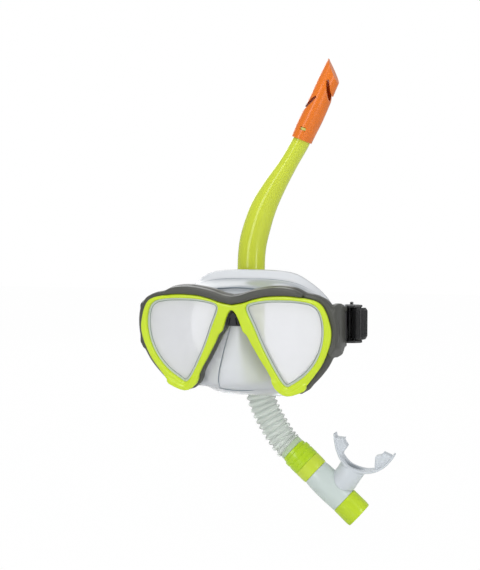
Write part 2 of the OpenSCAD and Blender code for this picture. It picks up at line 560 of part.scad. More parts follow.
// silicone mouthpiece: u across the bite, w along it, both in the snorkel's plane
mouth = [82.7, -134.4];
mouth_w = [0.276, 0.961];
mouth_u = [0.961, -0.276];
function at_mouth(u, w) = mouth + mouth_u * u + mouth_w * w;
flange_line = line_curve([[-29.4, 25.6], [-27.6, 18.6], [-24.2, 10.6], [-18, 3], [-10, -1.4],
  [0, -2.4], [10, -0.6], [19, 4.4], [25.4, 11.6], [28.8, 19], [30, 25.4]], 2);
function flange_ring(i) = let(n = len(flange_line), p = flange_line[i], f = abs(2 * i / (n - 1) - 1),
    d = heading(flange_line, i), h = 11.5 - 5 * pow(f, 3), t = 1.25 - 0.5 * f,
    c = at_mouth(p[0], p[1]), k = unit(mouth_u * (-d[1]) + mouth_w * d[0]))
  [for (q = [[-1, 0.9], [-0.5, 1], [0.5, 1], [1, 0.9], [1, -0.9], [0.5, -1], [-0.5, -1], [-1, -0.9]])
    [c[0] + k[0] * t * q[0], snorkel_y + h * q[1], c[1] + k[1] * t * q[0]]];
module in_mouth(y0, y1) {
  translate([mouth[0], snorkel_y, mouth[1]]) rotate([90, 16.03, 0]) translate([0, 0, y0])
    linear_extrude(y1 - y0) children();
}
// duct stations: u, w of the middle, half width, half depth, lean from the bite axis
duct = [[-15, -21.6, 13, 11.6, 25], [-12, -17, 11.8, 10.8, 24], [-8.2, -11, 11.3, 9.6, 20],
  [-3.6, -4.6, 12.4, 8.6, 10], [-0.6, 0.4, 14.6, 8, 2]];
function duct_rings(off, w0, w1) = [for (i = [w0 : w1]) let(p = duct[i], c = at_mouth(p[0], p[1]),
    d = unit(mouth_w * cos(p[4]) + mouth_u * sin(p[4])))
  oval(c, d, p[2] + off, p[3] + off, 24)];
module mouthpiece() {
  n = len(flange_line);
  color([0.8, 0.84, 0.87, 0.9]) difference() {
    union() {
      loft([for (i = [0 : n - 1]) flange_ring(i)]);
      difference() {
        loft(duct_rings(0, 0, 4));
        // the lips' side of the duct follows the flange
        in_mouth(-12, 12) polygon(concat([for (i = [3 : n - 4]) flange_line[i]],
          [[24, 30], [-24, 30]]));
        along_barrel() cylinder(r = 14.3, h = 80);
      }
      // bite tabs on short stems
      for (y = [[-5, 5]]) in_mouth(y[0], y[1]) {
        polygon([[-28.2, 21.6], [-26.6, 20.6], [-18.4, 22.4], [-18.6, 20], [-13.9, 16],
          [-16.6, 8.4], [-18, 3.4], [-24.6, 10.6]]);
        polygon([[28.6, 21], [25.6, 21.6], [18.9, 22.2], [18.2, 19.6], [13.2, 16.4], [15.6, 7],
          [18.6, 4.4], [25.6, 11.8]]);
      }
    }
    // bore of the duct, over the barrel's port
    loft(concat([oval(at_mouth(-16.5, -25), unit(mouth_w * cos(25) + mouth_u * sin(25)), 10.6, 10.6, 24)],
      duct_rings(-2.2, 1, 3),
      [oval(at_mouth(0, 3), mouth_w, 9.6, 5, 24)]));
    along_barrel() translate([2, 0, 52]) rotate([0, 90, 0]) cylinder(r = 9.45, h = 18.05);
    along_barrel() translate([20, 0, 52]) rotate([0, 90, 0]) cylinder(r = 10.1, h = 2);
  }
}

// drain at the end of the barrel
module purge_seat() {
  color([0.78, 0.8, 0.8]) along_barrel() difference() {
    union() {
      difference() {
        translate([0, 0, 75.1]) cylinder(r = 11.4, h = 1.6);
        translate([0, 0, 74]) cylinder(r = 9, h = 5);
      }
      for (w = [0 : 60 : 120]) rotate([0, 0, w]) translate([-9.6, -0.7, 75.1]) cube([19.2, 1.4, 1.6]);
      translate([0, 0, 75.1]) cylinder(r = 2.4, h = 1.6);
    }
    translate([0, 0, 74]) cylinder(r = 1.25, h = 6);
  }
}
module purge_valve() {
  color([0.86, 0.88, 0.88]) along_barrel() union() {
    translate([0, 0, 77]) cylinder(r = 10, h = 0.7);
    translate([0, 0, 73.6]) cylinder(r = 1.2, h = 3.7);
    translate([0, 0, 72.4]) cylinder(r = 1.9, h = 1.3);
  }
}
module purge_cap() {
  color([0.8, 0.88, 0.22]) along_barrel() difference() {
    turned([[0, 64.2], [13, 64.2], [13.4, 65], [13.4, 72], [13.5, 80], [13.1, 83], [12.6, 83.6],
      [0, 83.6]]);
    translate([0, 0, 60]) cylinder(r = 11.65, h = 16.8);
    translate([0, 0, 76]) cylinder(r = 10.8, h = 4.6);
    // drain slots in the end
    intersection() {
      translate([0, 0, 79]) cylinder(r = 9.6, h = 8);
      for (x = [-8 : 4 : 8]) translate([x - 1, -10, 79]) cube([2, 20, 8]);
    }
  }
}

frame();
bridge_clip();
bezel();
lens_left();
lens_right();
gasket_left();
gasket_right();
skirt();
buckle_body_left();
buckle_body_right();
buckle_pin_left();
buckle_pin_right();
strap_bar_left();
strap_bar_right();
lock_pawl_left();
lock_pawl_right();
pawl_pin_left();
pawl_pin_right();
strap();
keeper_clip();
keeper_ring();
snorkel_tube();
splash_cap();
hose();
swivel_nut();
nut_ring();
barrel();
mouthpiece();
purge_seat();
purge_valve();
purge_cap();
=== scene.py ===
import bpy
import bmesh
import math
from mathutils import Matrix, Vector


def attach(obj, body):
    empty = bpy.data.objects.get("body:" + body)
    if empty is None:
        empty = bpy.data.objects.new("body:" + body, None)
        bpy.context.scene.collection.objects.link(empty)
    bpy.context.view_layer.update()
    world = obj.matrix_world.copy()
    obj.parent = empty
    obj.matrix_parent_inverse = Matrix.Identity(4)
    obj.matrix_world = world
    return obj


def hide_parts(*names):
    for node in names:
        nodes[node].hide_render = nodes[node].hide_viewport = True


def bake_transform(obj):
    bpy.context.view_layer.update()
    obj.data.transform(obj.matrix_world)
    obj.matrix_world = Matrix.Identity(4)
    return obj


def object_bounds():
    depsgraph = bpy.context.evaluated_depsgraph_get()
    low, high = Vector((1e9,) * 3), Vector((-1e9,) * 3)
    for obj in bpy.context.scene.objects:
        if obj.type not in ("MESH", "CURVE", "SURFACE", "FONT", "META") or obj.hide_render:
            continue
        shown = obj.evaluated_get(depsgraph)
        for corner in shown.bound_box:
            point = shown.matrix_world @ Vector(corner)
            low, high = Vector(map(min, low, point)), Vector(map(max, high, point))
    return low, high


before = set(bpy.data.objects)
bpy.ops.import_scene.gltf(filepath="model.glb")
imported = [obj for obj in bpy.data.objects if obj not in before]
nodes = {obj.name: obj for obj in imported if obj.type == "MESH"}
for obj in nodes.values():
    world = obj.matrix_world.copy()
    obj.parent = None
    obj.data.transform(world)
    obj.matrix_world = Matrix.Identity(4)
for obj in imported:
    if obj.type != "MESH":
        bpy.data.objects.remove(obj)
cad_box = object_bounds()
scene = bpy.context.scene
scene.view_settings.view_transform = "Standard"

# ---------- camera and room ----------
# The set hangs just over a white table and is seen from the front, a little from the wearer's left.
# Broad soft lamps stand on both sides, and the table and backdrop read white to the camera.
camera = bpy.data.objects.new("camera", bpy.data.cameras.new("camera"))
scene.collection.objects.link(camera)
scene.camera = camera
camera.location = (0.26265, -0.76604, 0.07102)
looking = Vector((-0.34167, 0.93872, -0.04536))
camera.rotation_mode = "QUATERNION"
camera.rotation_quaternion = looking.to_track_quat("-Z", "Y")
camera.data.lens = 57.03
camera.data.sensor_width = 36
camera.data.clip_start, camera.data.clip_end = 0.02, 20


def seen_directly(tree):
    """1 for a ray from the camera or a view through glass"""
    path = tree.nodes.new("ShaderNodeLightPath")
    either = tree.nodes.new("ShaderNodeMath")
    either.operation = "MAXIMUM"
    tree.links.new(path.outputs["Is Camera Ray"], either.inputs[0])
    tree.links.new(path.outputs["Is Transmission Ray"], either.inputs[1])
    return either.outputs[0]


world = bpy.data.worlds.new("room")
scene.world = world
world.use_nodes = True
air = world.node_tree
air.nodes.clear()
soft_air = air.nodes.new("ShaderNodeBackground")
soft_air.inputs["Color"].default_value = (0.97, 0.985, 1, 1)
soft_air.inputs["Strength"].default_value = 0.5
white_air = air.nodes.new("ShaderNodeBackground")
white_air.inputs["Color"].default_value = (1, 1, 1, 1)
white_air.inputs["Strength"].default_value = 1
pick = air.nodes.new("ShaderNodeMixShader")
air.links.new(seen_directly(air), pick.inputs[0])
air.links.new(soft_air.outputs[0], pick.inputs[1])
air.links.new(white_air.outputs[0], pick.inputs[2])
air.links.new(pick.outputs[0], air.nodes.new("ShaderNodeOutputWorld").inputs[0])

table = bpy.data.meshes.new("table")
low, far = cad_box[0].z - 0.001, 4
corners = [(-far, -far, low), (far, -far, low), (far, far, low), (-far, far, low)]
table.from_pydata(corners, [], [(0, 1, 2, 3)])
table_top = bpy.data.objects.new("table", table)
scene.collection.objects.link(table_top)
paper = bpy.data.materials.new("table_paper")
paper.use_nodes = True
paper_tree = paper.node_tree
paper_skin = paper_tree.nodes["Principled BSDF"]
paper_skin.inputs["Base Color"].default_value = (0.93, 0.93, 0.93, 1)
paper_skin.inputs["Roughness"].default_value = 0.9
glow = paper_tree.nodes.new("ShaderNodeEmission")
glow.inputs["Color"].default_value = (1, 1, 1, 1)
glow.inputs["Strength"].default_value = 1
share = paper_tree.nodes.new("ShaderNodeMath")
share.operation = "MULTIPLY"
share.inputs[1].default_value = 0.985
blend_in = paper_tree.nodes.new("ShaderNodeMixShader")
paper_tree.links.new(seen_directly(paper_tree), share.inputs[0])
paper_tree.links.new(share.outputs[0], blend_in.inputs[0])
paper_tree.links.new(paper_skin.outputs[0], blend_in.inputs[1])
paper_tree.links.new(glow.outputs[0], blend_in.inputs[2])
paper_tree.links.new(blend_in.outputs[0], paper_tree.nodes["Material Output"].inputs[0])
table.materials.append(paper)


def softbox(name, place, aim, wide, tall, power):
    lamp = bpy.data.objects.new(name, bpy.data.lights.new(name, "AREA"))
    lamp.data.shape = "RECTANGLE"
    lamp.data.size, lamp.data.size_y, lamp.data.energy = wide, tall, power
    lamp.location = place
    lamp.rotation_mode = "QUATERNION"
    lamp.rotation_quaternion = (Vector(aim) - Vector(place)).to_track_quat("-Z", "Y")
    scene.collection.objects.link(lamp)


softbox("left_softbox", (-0.35, -1.5, 0.35), (0, 0, 0), 0.5, 1.3, 6.5)
softbox("right_softbox", (1.35, -0.75, 0.3), (0, 0, 0), 0.45, 1.3, 6)
softbox("top_softbox", (-0.1, -0.5, 1.5), (0, 0, 0), 1.2, 0.9, 8)
softbox("back_softbox", (-0.7, 1.3, 0.7), (0, 0, 0), 0.9, 0.9, 5)


# ---------- frame ----------
# The mask's frame is one injection moulding in satin olive-grey nylon: a deep ring round both lenses,
# a raised brow bar and a swept arm each side with two lugs for the buckle's hinge pin.
def span(a, b, c, d, n):
    """n points from b towards c on a smooth line through a, b, c and d"""
    return [0.5 * ((2 * b) + (c - a) * t + (2 * a - 5 * b + 4 * c - d) * t * t
                   + (3 * b - a - 3 * c + d) * t ** 3) for t in (k / n for k in range(n))]


def ring_curve(p, n):
    """a smooth closed line through p, n points to a span"""
    m, out = len(p), []
    for i in range(m):
        out += span(*(Vector(p[(i + k) % m]) for k in (-1, 0, 1, 2)), n)
    return out


def line_curve(p, n):
    """a smooth open line through p"""
    m, out = len(p), []
    for i in range(m - 1):
        out += span(*(Vector(p[min(max(i + k, 0), m - 1)]) for k in (-1, 0, 1, 2)), n)
    return out + [Vector(p[-1])]


def whole(p):
    """the full outline from its left half, top middle to bottom middle"""
    return [Vector(q) for q in p] + [Vector((-q[0], q[1])) for q in reversed(p[1:-1])]


def both(p):
    """an outline on the left and its mirror image on the right"""
    return [p, [Vector((-q[0], q[1])) for q in p]]


def grown(p, d):
    """an outline moved along its own normals by d, as the frame and its seats step in and out"""
    m, out = len(p), []
    for i in range(m):
        t = (Vector(p[(i + 1) % m]) - Vector(p[i - 1])).normalized()
        out.append(Vector(p[i]) - Vector((t.y, -t.x)) * d)
    return out


def plate(loops, low, high, rounding):
    """a flat moulding in millimetres with rounded edges, drawn in its own plane"""
    c = bpy.data.curves.new("plate", "CURVE")
    c.dimensions, c.fill_mode = "2D", "BOTH"
    c.extrude = (high - low) / 2 - rounding
    c.bevel_depth, c.bevel_resolution, c.offset = rounding, 3, -rounding
    for loop in loops:
        s = c.splines.new("POLY")
        s.points.add(len(loop) - 1)
        s.use_cyclic_u = True
        for q, p in zip(s.points, loop):
            q.co = (p[0], p[1], 0, 1)
    o = bpy.data.objects.new("plate", c)
    scene.collection.objects.link(o)
    made = bpy.data.meshes.new_from_object(o.evaluated_get(bpy.context.evaluated_depsgraph_get()))
    bpy.data.objects.remove(o)
    made.transform(Matrix.Translation((0, 0, (low + high) / 2)))
    return made


def skin(rings, closed=False):
    """a closed surface through rings of points, capped at both ends unless it comes back round"""
    n, m = len(rings[0]), len(rings)
    faces = [(j * n + i, j * n + (i + 1) % n, (j + 1) % m * n + (i + 1) % n, (j + 1) % m * n + i)
             for j in range(m if closed else m - 1) for i in range(n)]
    if not closed:
        faces += [tuple(range(n))[::-1], tuple((m - 1) * n + i for i in range(n))]
    made = bpy.data.meshes.new("skin")
    made.from_pydata([tuple(p) for r in rings for p in r], [], faces)
    return made


def joined(meshes):
    """several meshes as one, doubles merged and faces turned outwards"""
    b = bmesh.new()
    for x in meshes:
        b.from_mesh(x)
    bmesh.ops.remove_doubles(b, verts=b.verts, dist=1e-6)
    bmesh.ops.recalc_face_normals(b, faces=b.faces)
    made = bpy.data.meshes.new("joined")
    b.to_mesh(made)
    b.free()
    return made


def with_modifiers(mesh, *steps):
    """the mesh after these modifiers, each a type and its settings"""
    o = bpy.data.objects.new("work", mesh)
    scene.collection.objects.link(o)
    for kind, settings in steps:
        m = o.modifiers.new(kind, kind)
        for key, value in settings.items():
            setattr(m, key, value)
    made = bpy.data.meshes.new_from_object(o.evaluated_get(bpy.context.evaluated_depsgraph_get()))
    bpy.data.objects.remove(o)
    return made


def piece(name, mesh, body, material, slot, *replaced, angle=40):
    """a finished piece in metres, smooth but for its real edges, attached to its body when it is given one"""
    mesh.name = name
    o = bpy.data.objects.new(name, mesh)
    scene.collection.objects.link(o)
    mesh.polygons.foreach_set("use_smooth", [True] * len(mesh.polygons))
    if angle < 180:
        mesh.set_sharp_from_angle(angle=math.radians(angle))
    mesh.materials.clear()
    mesh.materials.append(material)
    if body:
        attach(o, body)
    if replaced:
        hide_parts(*replaced)
    return o


def moulded(name, colour, rough, grain=0.00035, depth=0.00002, tone=0.86, sheen=0.0,
            edge_highlight=0.0, milk=None, ior=1.5):
    """a moulded plastic or rubber: its colour drifts between this one and a darker tone, its skin has a
    fine tool grain, its sharp edges may be lightened as a painted highlight, and milk is the share of light
    that goes through"""
    m = bpy.data.materials.new(name)
    m.use_nodes = True
    t = m.node_tree
    s, link = t.nodes["Principled BSDF"], t.links.new
    at = t.nodes.new("ShaderNodeTexCoord")

    def noise(size, detail):
        x = t.nodes.new("ShaderNodeTexNoise")
        x.inputs["Scale"].default_value = 1 / size
        x.inputs["Detail"].default_value = detail
        link(at.outputs["Object"], x.inputs["Vector"])
        return x.outputs["Fac"]

    drift = t.nodes.new("ShaderNodeMix")
    drift.data_type = "RGBA"
    drift.inputs["A"].default_value = (*[c * tone for c in colour], 1)
    drift.inputs["B"].default_value = (*colour, 1)
    link(noise(0.03, 3), drift.inputs["Factor"])
    tint = drift.outputs["Result"]
    # the sharp convex edges, found by pointiness, are lightened as a painted highlight
    if edge_highlight:
        edge = t.nodes.new("ShaderNodeNewGeometry")
        near = t.nodes.new("ShaderNodeMapRange")
        near.inputs["From Min"].default_value, near.inputs["From Max"].default_value = 0.51, 0.6
        near.inputs["To Max"].default_value = edge_highlight
        link(edge.outputs["Pointiness"], near.inputs["Value"])
        edge_highlight_mix = t.nodes.new("ShaderNodeMix")
        edge_highlight_mix.data_type = "RGBA"
        edge_highlight_mix.inputs["B"].default_value = (*[min(1, c * 1.6 + 0.05) for c in colour], 1)
        link(near.outputs["Result"], edge_highlight_mix.inputs["Factor"])
        link(tint, edge_highlight_mix.inputs["A"])
        tint = edge_highlight_mix.outputs["Result"]
    link(tint, s.inputs["Base Color"])
    gloss = t.nodes.new("ShaderNodeMapRange")
    gloss.inputs["To Min"].default_value = max(rough - 0.03, 0)
    gloss.inputs["To Max"].default_value = rough + 0.03
    link(noise(0.02, 1), gloss.inputs["Value"])
    link(gloss.outputs["Result"], s.inputs["Roughness"])
    if depth:
        bump = t.nodes.new("ShaderNodeBump")
        bump.inputs["Distance"].default_value = depth
        bump.inputs["Strength"].default_value = 0.6
        link(noise(grain, 2), bump.inputs["Height"])
        link(bump.outputs["Normal"], s.inputs["Normal"])
    s.inputs["IOR"].default_value = ior
    if sheen:
        s.inputs["Sheen Weight"].default_value = sheen
        s.inputs["Sheen Roughness"].default_value = 0.5
    if milk is not None:
        s.inputs["Transmission Weight"].default_value = milk
    return m


# the lenses' plane stands 62 mm ahead of the origin, and its top tips forward by 7 degrees
FRONT_Y, LEAN = -62, math.radians(97)
FRONT = Matrix.Translation((0, FRONT_Y / 1000, 0)) @ Matrix.Rotation(LEAN, 4, "X")
MM = Matrix.Scale(0.001, 4)
opening = ring_curve([(12.4, 18.5), (16, 22.2), (30, 25), (45, 25.6), (58, 25), (69, 22.9),
                      (74.8, 18), (77.6, 10), (78.3, 0), (77, -10), (74, -19.2), (69, -28.2),
                      (61, -37.4), (50.5, -45), (45.6, -47.4), (41, -44), (33.5, -31.3),
                      (25, -14.2), (18.5, 2), (13.6, 13)], 4)
brow_top = [(0, 27.8), (8, 29.2), (17, 32.3), (26, 34.3), (37, 35.8), (47, 35.6), (54.5, 34.2),
            (59, 32.2), (63, 30.2), (70, 28.9), (75.5, 26.9), (81, 23.4), (84.6, 17.2), (86.8, 10),
            (87.8, 0)]
rim = whole(line_curve(brow_top + [(86.8, -10), (83.6, -20), (78.8, -29.6), (72.4, -38),
                                   (66, -44.8)], 3)
            + [(62.8, -48.8), (55.6, -53.2), (46, -55.8), (38.8, -53.4), (34.2, -49.4),
               (31.8, -44.6), (31.2, -40.6), (27.4, -33.2), (24, -28), (20.9, -22.6), (15, -12),
               (11.4, -5), (8, -1.4), (6.4, 3.2), (5, 7.4), (2.6, 12.4), (0, 14.8)])
brow_bar = whole(line_curve(brow_top[:8], 3)
                 + [(61.6, 30.4), (61.6, 29), (60, 28.2), (55, 28.9), (44, 29.4), (30, 28.6), (19, 26.1),
                    (10, 23.1), (0, 21.3)])


# two planes slope the arm's corners off: where each starts at the rim (x, z), and how steeply it falls
BROW_SLOPE = (84.6, 23.2), (0.876, 0.244, 0.4146)
CHEEK_SLOPE = (83.4, -19.6), (0.8333, 0.2957, -0.4669)


def height_on(slope, x, back):
    (x0, z0), (across, along, up) = slope
    return z0 - (across * (x - x0) - along * back) / up


def reach_on(slope, z, back):
    (x0, z0), (across, along, up) = slope
    return x0 + (along * back + up * (z0 - z)) / across


def arm(side):
    """the swept arm: rings from the rim back to the hinge, sloped off at the brow and the cheek"""
    rings, corner = [], 1.4
    # each ring's place y, from the rim back, then its inner and outer x and its lower and upper z
    for y, x0, x1, z0, z1 in [(-60, 81, 86.6, -19, 20), (-56.4, 81.4, 88, -20.4, 21),
                              (-52, 82, 89, -21.4, 22), (-48, 82.4, 89.4, -21.7, 22.6),
                              (-43, 83, 89.5, -20.5, 22.3), (-38, 83.4, 89.5, -17.7, 21.2),
                              (-34.4, 83.7, 89.3, -15.4, 20.4), (-33.8, 84.3, 88.8, -14.8, 19.8)]:
        back = y + 60
        brow_z = min(z1 - corner, height_on(BROW_SLOPE, x1, back))
        brow_x = max(x0 + 1, min(x1 - corner, reach_on(BROW_SLOPE, z1, back)))
        cheek_z = max(z0 + corner, height_on(CHEEK_SLOPE, x1, back))
        cheek_x = max(x0 + 1, min(x1 - corner, reach_on(CHEEK_SLOPE, z0, back)))
        rings.append([Vector((side * x, y, z)) for x, z in
                      [(x0, z0 + 1.2), (x0 + 0.8, z0), (cheek_x, z0), (x1, cheek_z), (x1, brow_z),
                       (brow_x, z1), (x0 + 0.8, z1), (x0, z1 - 1.2)]])
    return skin(rings)


def lug(side, z0, z1):
    """one ear of the hinge: a round boss and its root"""
    pin_x, pin_y, ear = 86.6, -30, 3
    outline = [Vector((pin_x + ear * math.cos(math.radians(a)), pin_y + ear * math.sin(math.radians(a))))
               for a in range(-20, 201, 20)] + [Vector((83.7, -36)), Vector((89.5, -36))]
    made = plate([outline], z0, z1, 0.5)
    if side < 0:
        made.transform(Matrix.Scale(-1, 4, (1, 0, 0)))
    return made


# the ring in three steps and the bar on it, each between two heights over the lenses' plane
body_parts = [plate([rim] + both(grown(opening, -0.3)), -12, -5.4, 1.2),
              plate([rim] + both(grown(opening, 1.6)), -7.4, -2.2, 0.9),
              plate([grown(rim, 0.5)] + both(grown(opening, 2.6)), -10.2, -3.4, 1.2),
              plate([brow_bar], -4, 2.9, 1.35)]
# beside each lens, below the brow, the rim stands a little further out
rim_out, rim_in = grown(rim, 1.4), grown(rim, -4)
swell = [i for i in range(len(rim) // 2 + 1) if rim_out[i].x > 56 and rim_out[i].y < 22]
beside = [rim_out[i] for i in swell] + [rim_in[i] for i in reversed(swell)]
body_parts += [plate([loop], -9.4, -4, 1) for loop in both(beside)]
to_lens_plane = Matrix.Rotation(-LEAN, 4, "X") @ Matrix.Translation((0, -FRONT_Y, 0))
for side in (1, -1):
    for x in (arm(side), lug(side, 14.7, 19.6), lug(side, -14.4, -9.7)):
        x.transform(to_lens_plane)
        body_parts.append(x)
shell = with_modifiers(joined(body_parts),
                       ("REMESH", {"mode": "VOXEL", "voxel_size": 0.72}),
                       ("SMOOTH", {"factor": 0.5, "iterations": 3}),
                       ("DECIMATE", {"ratio": 0.4}))
shell.transform(FRONT @ MM)
# the frame's sharp edges are lightened as a painted highlight
frame_grey = moulded("frame_satin", (0.07, 0.071, 0.06), 0.36, grain=0.0003, depth=0.000012,
                     tone=0.8, edge_highlight=0.35)
piece("frame_shell", shell, "mask", frame_grey, "frame_grey", "frame", angle=180)

# ---------- bridge web ----------
# A small glossy black web fills the notch between the two rims over the nose.
# It is a hard plastic moulding of its own, and clips into the frame from behind.
def dress(name, finish):
    """the solid of this name, in its own finish"""
    o = nodes[name]
    o.data.materials.clear()
    o.data.materials.append(finish)


web_black = moulded("web_black", (0.012, 0.012, 0.014), 0.16, depth=0)
dress("bridge_clip", web_black)

# ---------- bezel ----------
# The lime bezel is one glossy moulding round both lenses. Its face is rounded, it dips to a notch over
# the nose, and below each lens a thicker foot wraps the frame's corner.
bezel_top = [(0, 20.8), (10, 22.6), (19, 25.6), (30, 28.1), (44, 29), (55, 28.5), (64, 27.2),
             (72, 25.3), (77, 22), (80.5, 16), (83, 8), (84.4, 0), (83.4, -9), (80.4, -18),
             (76, -27.5), (70, -36), (64.5, -43.2)]
bezel_foot = [(62.3, -45.5), (62.3, -48), (60.5, -50), (55, -52.6), (50, -54.4), (46, -55),
              (42.5, -54.4), (39, -52.4), (35.2, -48.8), (33, -44.6), (32.4, -40.8)]
bezel_edge = whole(line_curve(bezel_top, 4) + [Vector(p) for p in bezel_foot]
                   + line_curve([(28.5, -33.2), (25, -27.8), (22, -22.6), (19, -17.3), (16, -12),
                                 (12.6, -5)], 2)
                   + [Vector(p) for p in [(9, -1.5), (7.4, 3), (6, 7.6), (3.5, 13.2), (1.4, 15.7),
                                          (0, 16.2)]])
rings = plate([bezel_edge] + both(opening), -2.1, 2.4, 1.45)
foot = [(64.2, -43.6)] + bezel_foot + [(38.6, -42.6), (42.5, -49.2), (45.8, -50.8), (50, -49.6), (60, -43.4)]
feet = [plate([[Vector((m * x, y)) for x, y in foot]], -2.1, 3.1, 1.2) for m in (1, -1)]
lime_face = with_modifiers(joined([rings] + feet), ("REMESH", {"mode": "VOXEL", "voxel_size": 0.42}),
                           ("SMOOTH", {"factor": 0.5, "iterations": 3}),
                           ("DECIMATE", {"ratio": 0.35}))
lime_face.transform(FRONT @ MM)
lime_gloss = moulded("lime_gloss", (0.6, 0.77, 0.02), 0.2, depth=0, tone=0.9)
piece("bezel_ring", lime_face, "mask", lime_gloss, "lime_gloss", "bezel", angle=180)

# ---------- lenses ----------
# Two flat panes of tempered glass, held between the bezel and the frame's ledge. The glass has a faint
# cool tint, and a pale veil over it is a painted reflection, a little stronger on the right pane than on the
# left one.
# the pale share of each pane that is not let through is a painted reflection of the lamps
for name, clear in (("lens_left", 0.5), ("lens_right", 0.4)):
    glass = moulded(name + "_glass", (0.93, 0.935, 0.96), 0.06, depth=0, tone=0.99, milk=clear, ior=1.3)
    dress(name, glass)


# ---------- lens seals ----------
# A soft grey-green cord of silicone seals each pane against the frame's ledge, and a pale lip with a
# dark edge shows on the glass just inside each bezel.
def bead(path, radius, closed=False):
    """a round cord through these points, in the units of the points"""
    rings, m, sides = [], len(path), 8
    side = None
    for i in range(m):
        a = path[(i - 1) % m] if closed or i else path[0]
        b = path[(i + 1) % m] if closed or i < m - 1 else path[m - 1]
        t = (Vector(b) - Vector(a)).normalized()
        if side is None:
            side = t.orthogonal().normalized()
        side = (side - t * side.dot(t)).normalized()
        up = t.cross(side)
        r = radius[i] if isinstance(radius, list) else radius
        rings.append([Vector(path[i]) + (side * math.cos(w) + up * math.sin(w)) * r
                      for w in (2 * math.pi * k / sides for k in range(sides))])
    return skin(rings, closed)


seal = moulded("seal_rubber", (0.22, 0.28, 0.26), 0.45, depth=0, tone=0.8)
seal_pale = moulded("seal_pale", (0.62, 0.67, 0.66), 0.4, depth=0, tone=0.9)
for m, side in ((1, "left"), (-1, "right")):
    cord = bead([Vector((m * p.x, p.y, -4.78)) for p in grown(opening, 0.55)], 0.46, closed=True)
    edge = bead([Vector((m * p.x, p.y, -0.95)) for p in grown(opening, -1.9)], 0.3, closed=True)
    lip_loops = [[Vector((m * p.x, p.y)) for p in grown(opening, d)] for d in (0.2, -1.7)]
    pale_lip = plate(lip_loops, -1.06, -0.86, 0.05)
    for x in (cord, edge, pale_lip):
        x.transform(FRONT @ MM)
    piece("lens_seal_" + side, joined([cord, edge]), "mask", seal, "seal_grey", "gasket_" + side, angle=180)
    piece("seal_lip_" + side, joined([pale_lip]), "mask", seal_pale, "seal_grey", angle=60)

# ---------- skirt ----------
# The skirt is cast in clear silicone: a lip clamped behind the frame, a soft wall over brow, temples
# and nose pocket, then an outer seal and a thin inner feather edge. It is milkier where it is thick.
def lip(x, z):
    """a point on the clamped lip, which is parallel to the lenses' plane"""
    return (x, -49.8 - 0.1228 * z, z)


# half of the skirt, from the top middle round to the bottom middle: at each station two points of the
# clamped lip, then four of the wall's outer face, back to the seal
skirt_half = [
    [lip(0, 23.5), lip(0, 25.6), (0, -50.6, 34), (0, -36, 37.4), (0, -22, 39.8), (0, -13, 49)],
    [lip(19, 27), lip(19, 28.8), (19, -50, 33), (20, -36, 36.6), (21, -22, 39.5), (22, -13, 48.6)],
    [lip(40, 28.6), lip(40, 30.4), (40, -48, 32.4), (40, -36, 34.6), (40, -21.5, 37),
     (39.5, -13, 46)],
    [lip(57, 27), lip(57, 28.6), (56, -46, 29.8), (55, -34, 31), (53.5, -19.5, 31.8),
     (52.6, -11, 38.4)],
    [lip(70, 23.8), lip(70, 25), (67.8, -44, 24.8), (66, -31, 25), (63.5, -16, 25), (63.4, -7, 28.6)],
    [lip(78, 16.2), lip(79, 16.6), (75.6, -42, 15.6), (73, -28, 15.2), (70.5, -13, 15),
     (71.5, -3, 16.4)],
    [lip(80.4, 1), lip(81.2, 1), (77.8, -40, 1), (75.5, -27, 1), (73.5, -11.5, 1), (75, -1.5, 1)],
    [lip(79, -14), lip(79.6, -14.4), (76.2, -38, -14), (74, -26, -14), (72.5, -11.5, -14),
     (74.2, -1, -14.5)],
    [lip(73.4, -27), lip(74, -27.6), (71.2, -37, -27), (69, -26, -27), (67.8, -12, -27),
     (69.4, -1.5, -28.4)],
    [lip(66, -38.4), lip(66.6, -39.2), (63.4, -36, -38), (61.5, -26, -38), (60.5, -14, -38.6),
     (61.4, -3.5, -41)],
    [lip(56.6, -47.6), lip(57, -48.4), (54.2, -36, -47.4), (53, -27, -47.4), (52.5, -17, -48),
     (53, -6.5, -51)],
    [lip(46, -51.6), lip(46, -52.6), (45, -37, -52.4), (44.5, -29, -52.8), (44.5, -20, -53.4),
     (45, -10, -57.6)],
    [lip(36.6, -46.6), lip(33.8, -49.8), (32.4, -41.6, -51.6), (33, -35, -54.2), (35, -24, -56.6),
     (36, -12.5, -60.8)],
    [lip(31, -36), lip(28.4, -37.4), (21, -50.6, -40), (21.4, -47.6, -50.8), (27, -31, -57.4),
     (27.5, -15, -62.2)],
    [lip(20.6, -16.8), lip(17, -18.4), (13.4, -53, -27), (15.6, -52, -51.4), (18, -32, -58.4),
     (18, -15.6, -62.8)],
    [lip(12, -0.6), lip(8.4, -5.6), (7.2, -54, -18), (8, -53.2, -52.2), (9, -33, -58.6),
     (9, -16, -62.8)],
    [lip(0, 18), lip(0, 13.4), (0, -54.2, -8), (0, -53.4, -52.4), (0, -33.5, -58.8),
     (0, -16, -62.6)]]
SPAN = 4
rows = [ring_curve([s[k] for s in skirt_half]
                   + [(-s[k][0], s[k][1], s[k][2]) for s in reversed(skirt_half[1:-1])], SPAN)
        for k in range(6)]
count = len(rows[0])


def skirt_inward(j, k):
    """the way into the wall from its outer face"""
    a = rows[k][(j + 1) % count] - rows[k][j - 1]
    b = rows[min(k + 1, 5)][j] - rows[max(k - 1, 0)][j]
    return b.cross(a).normalized()


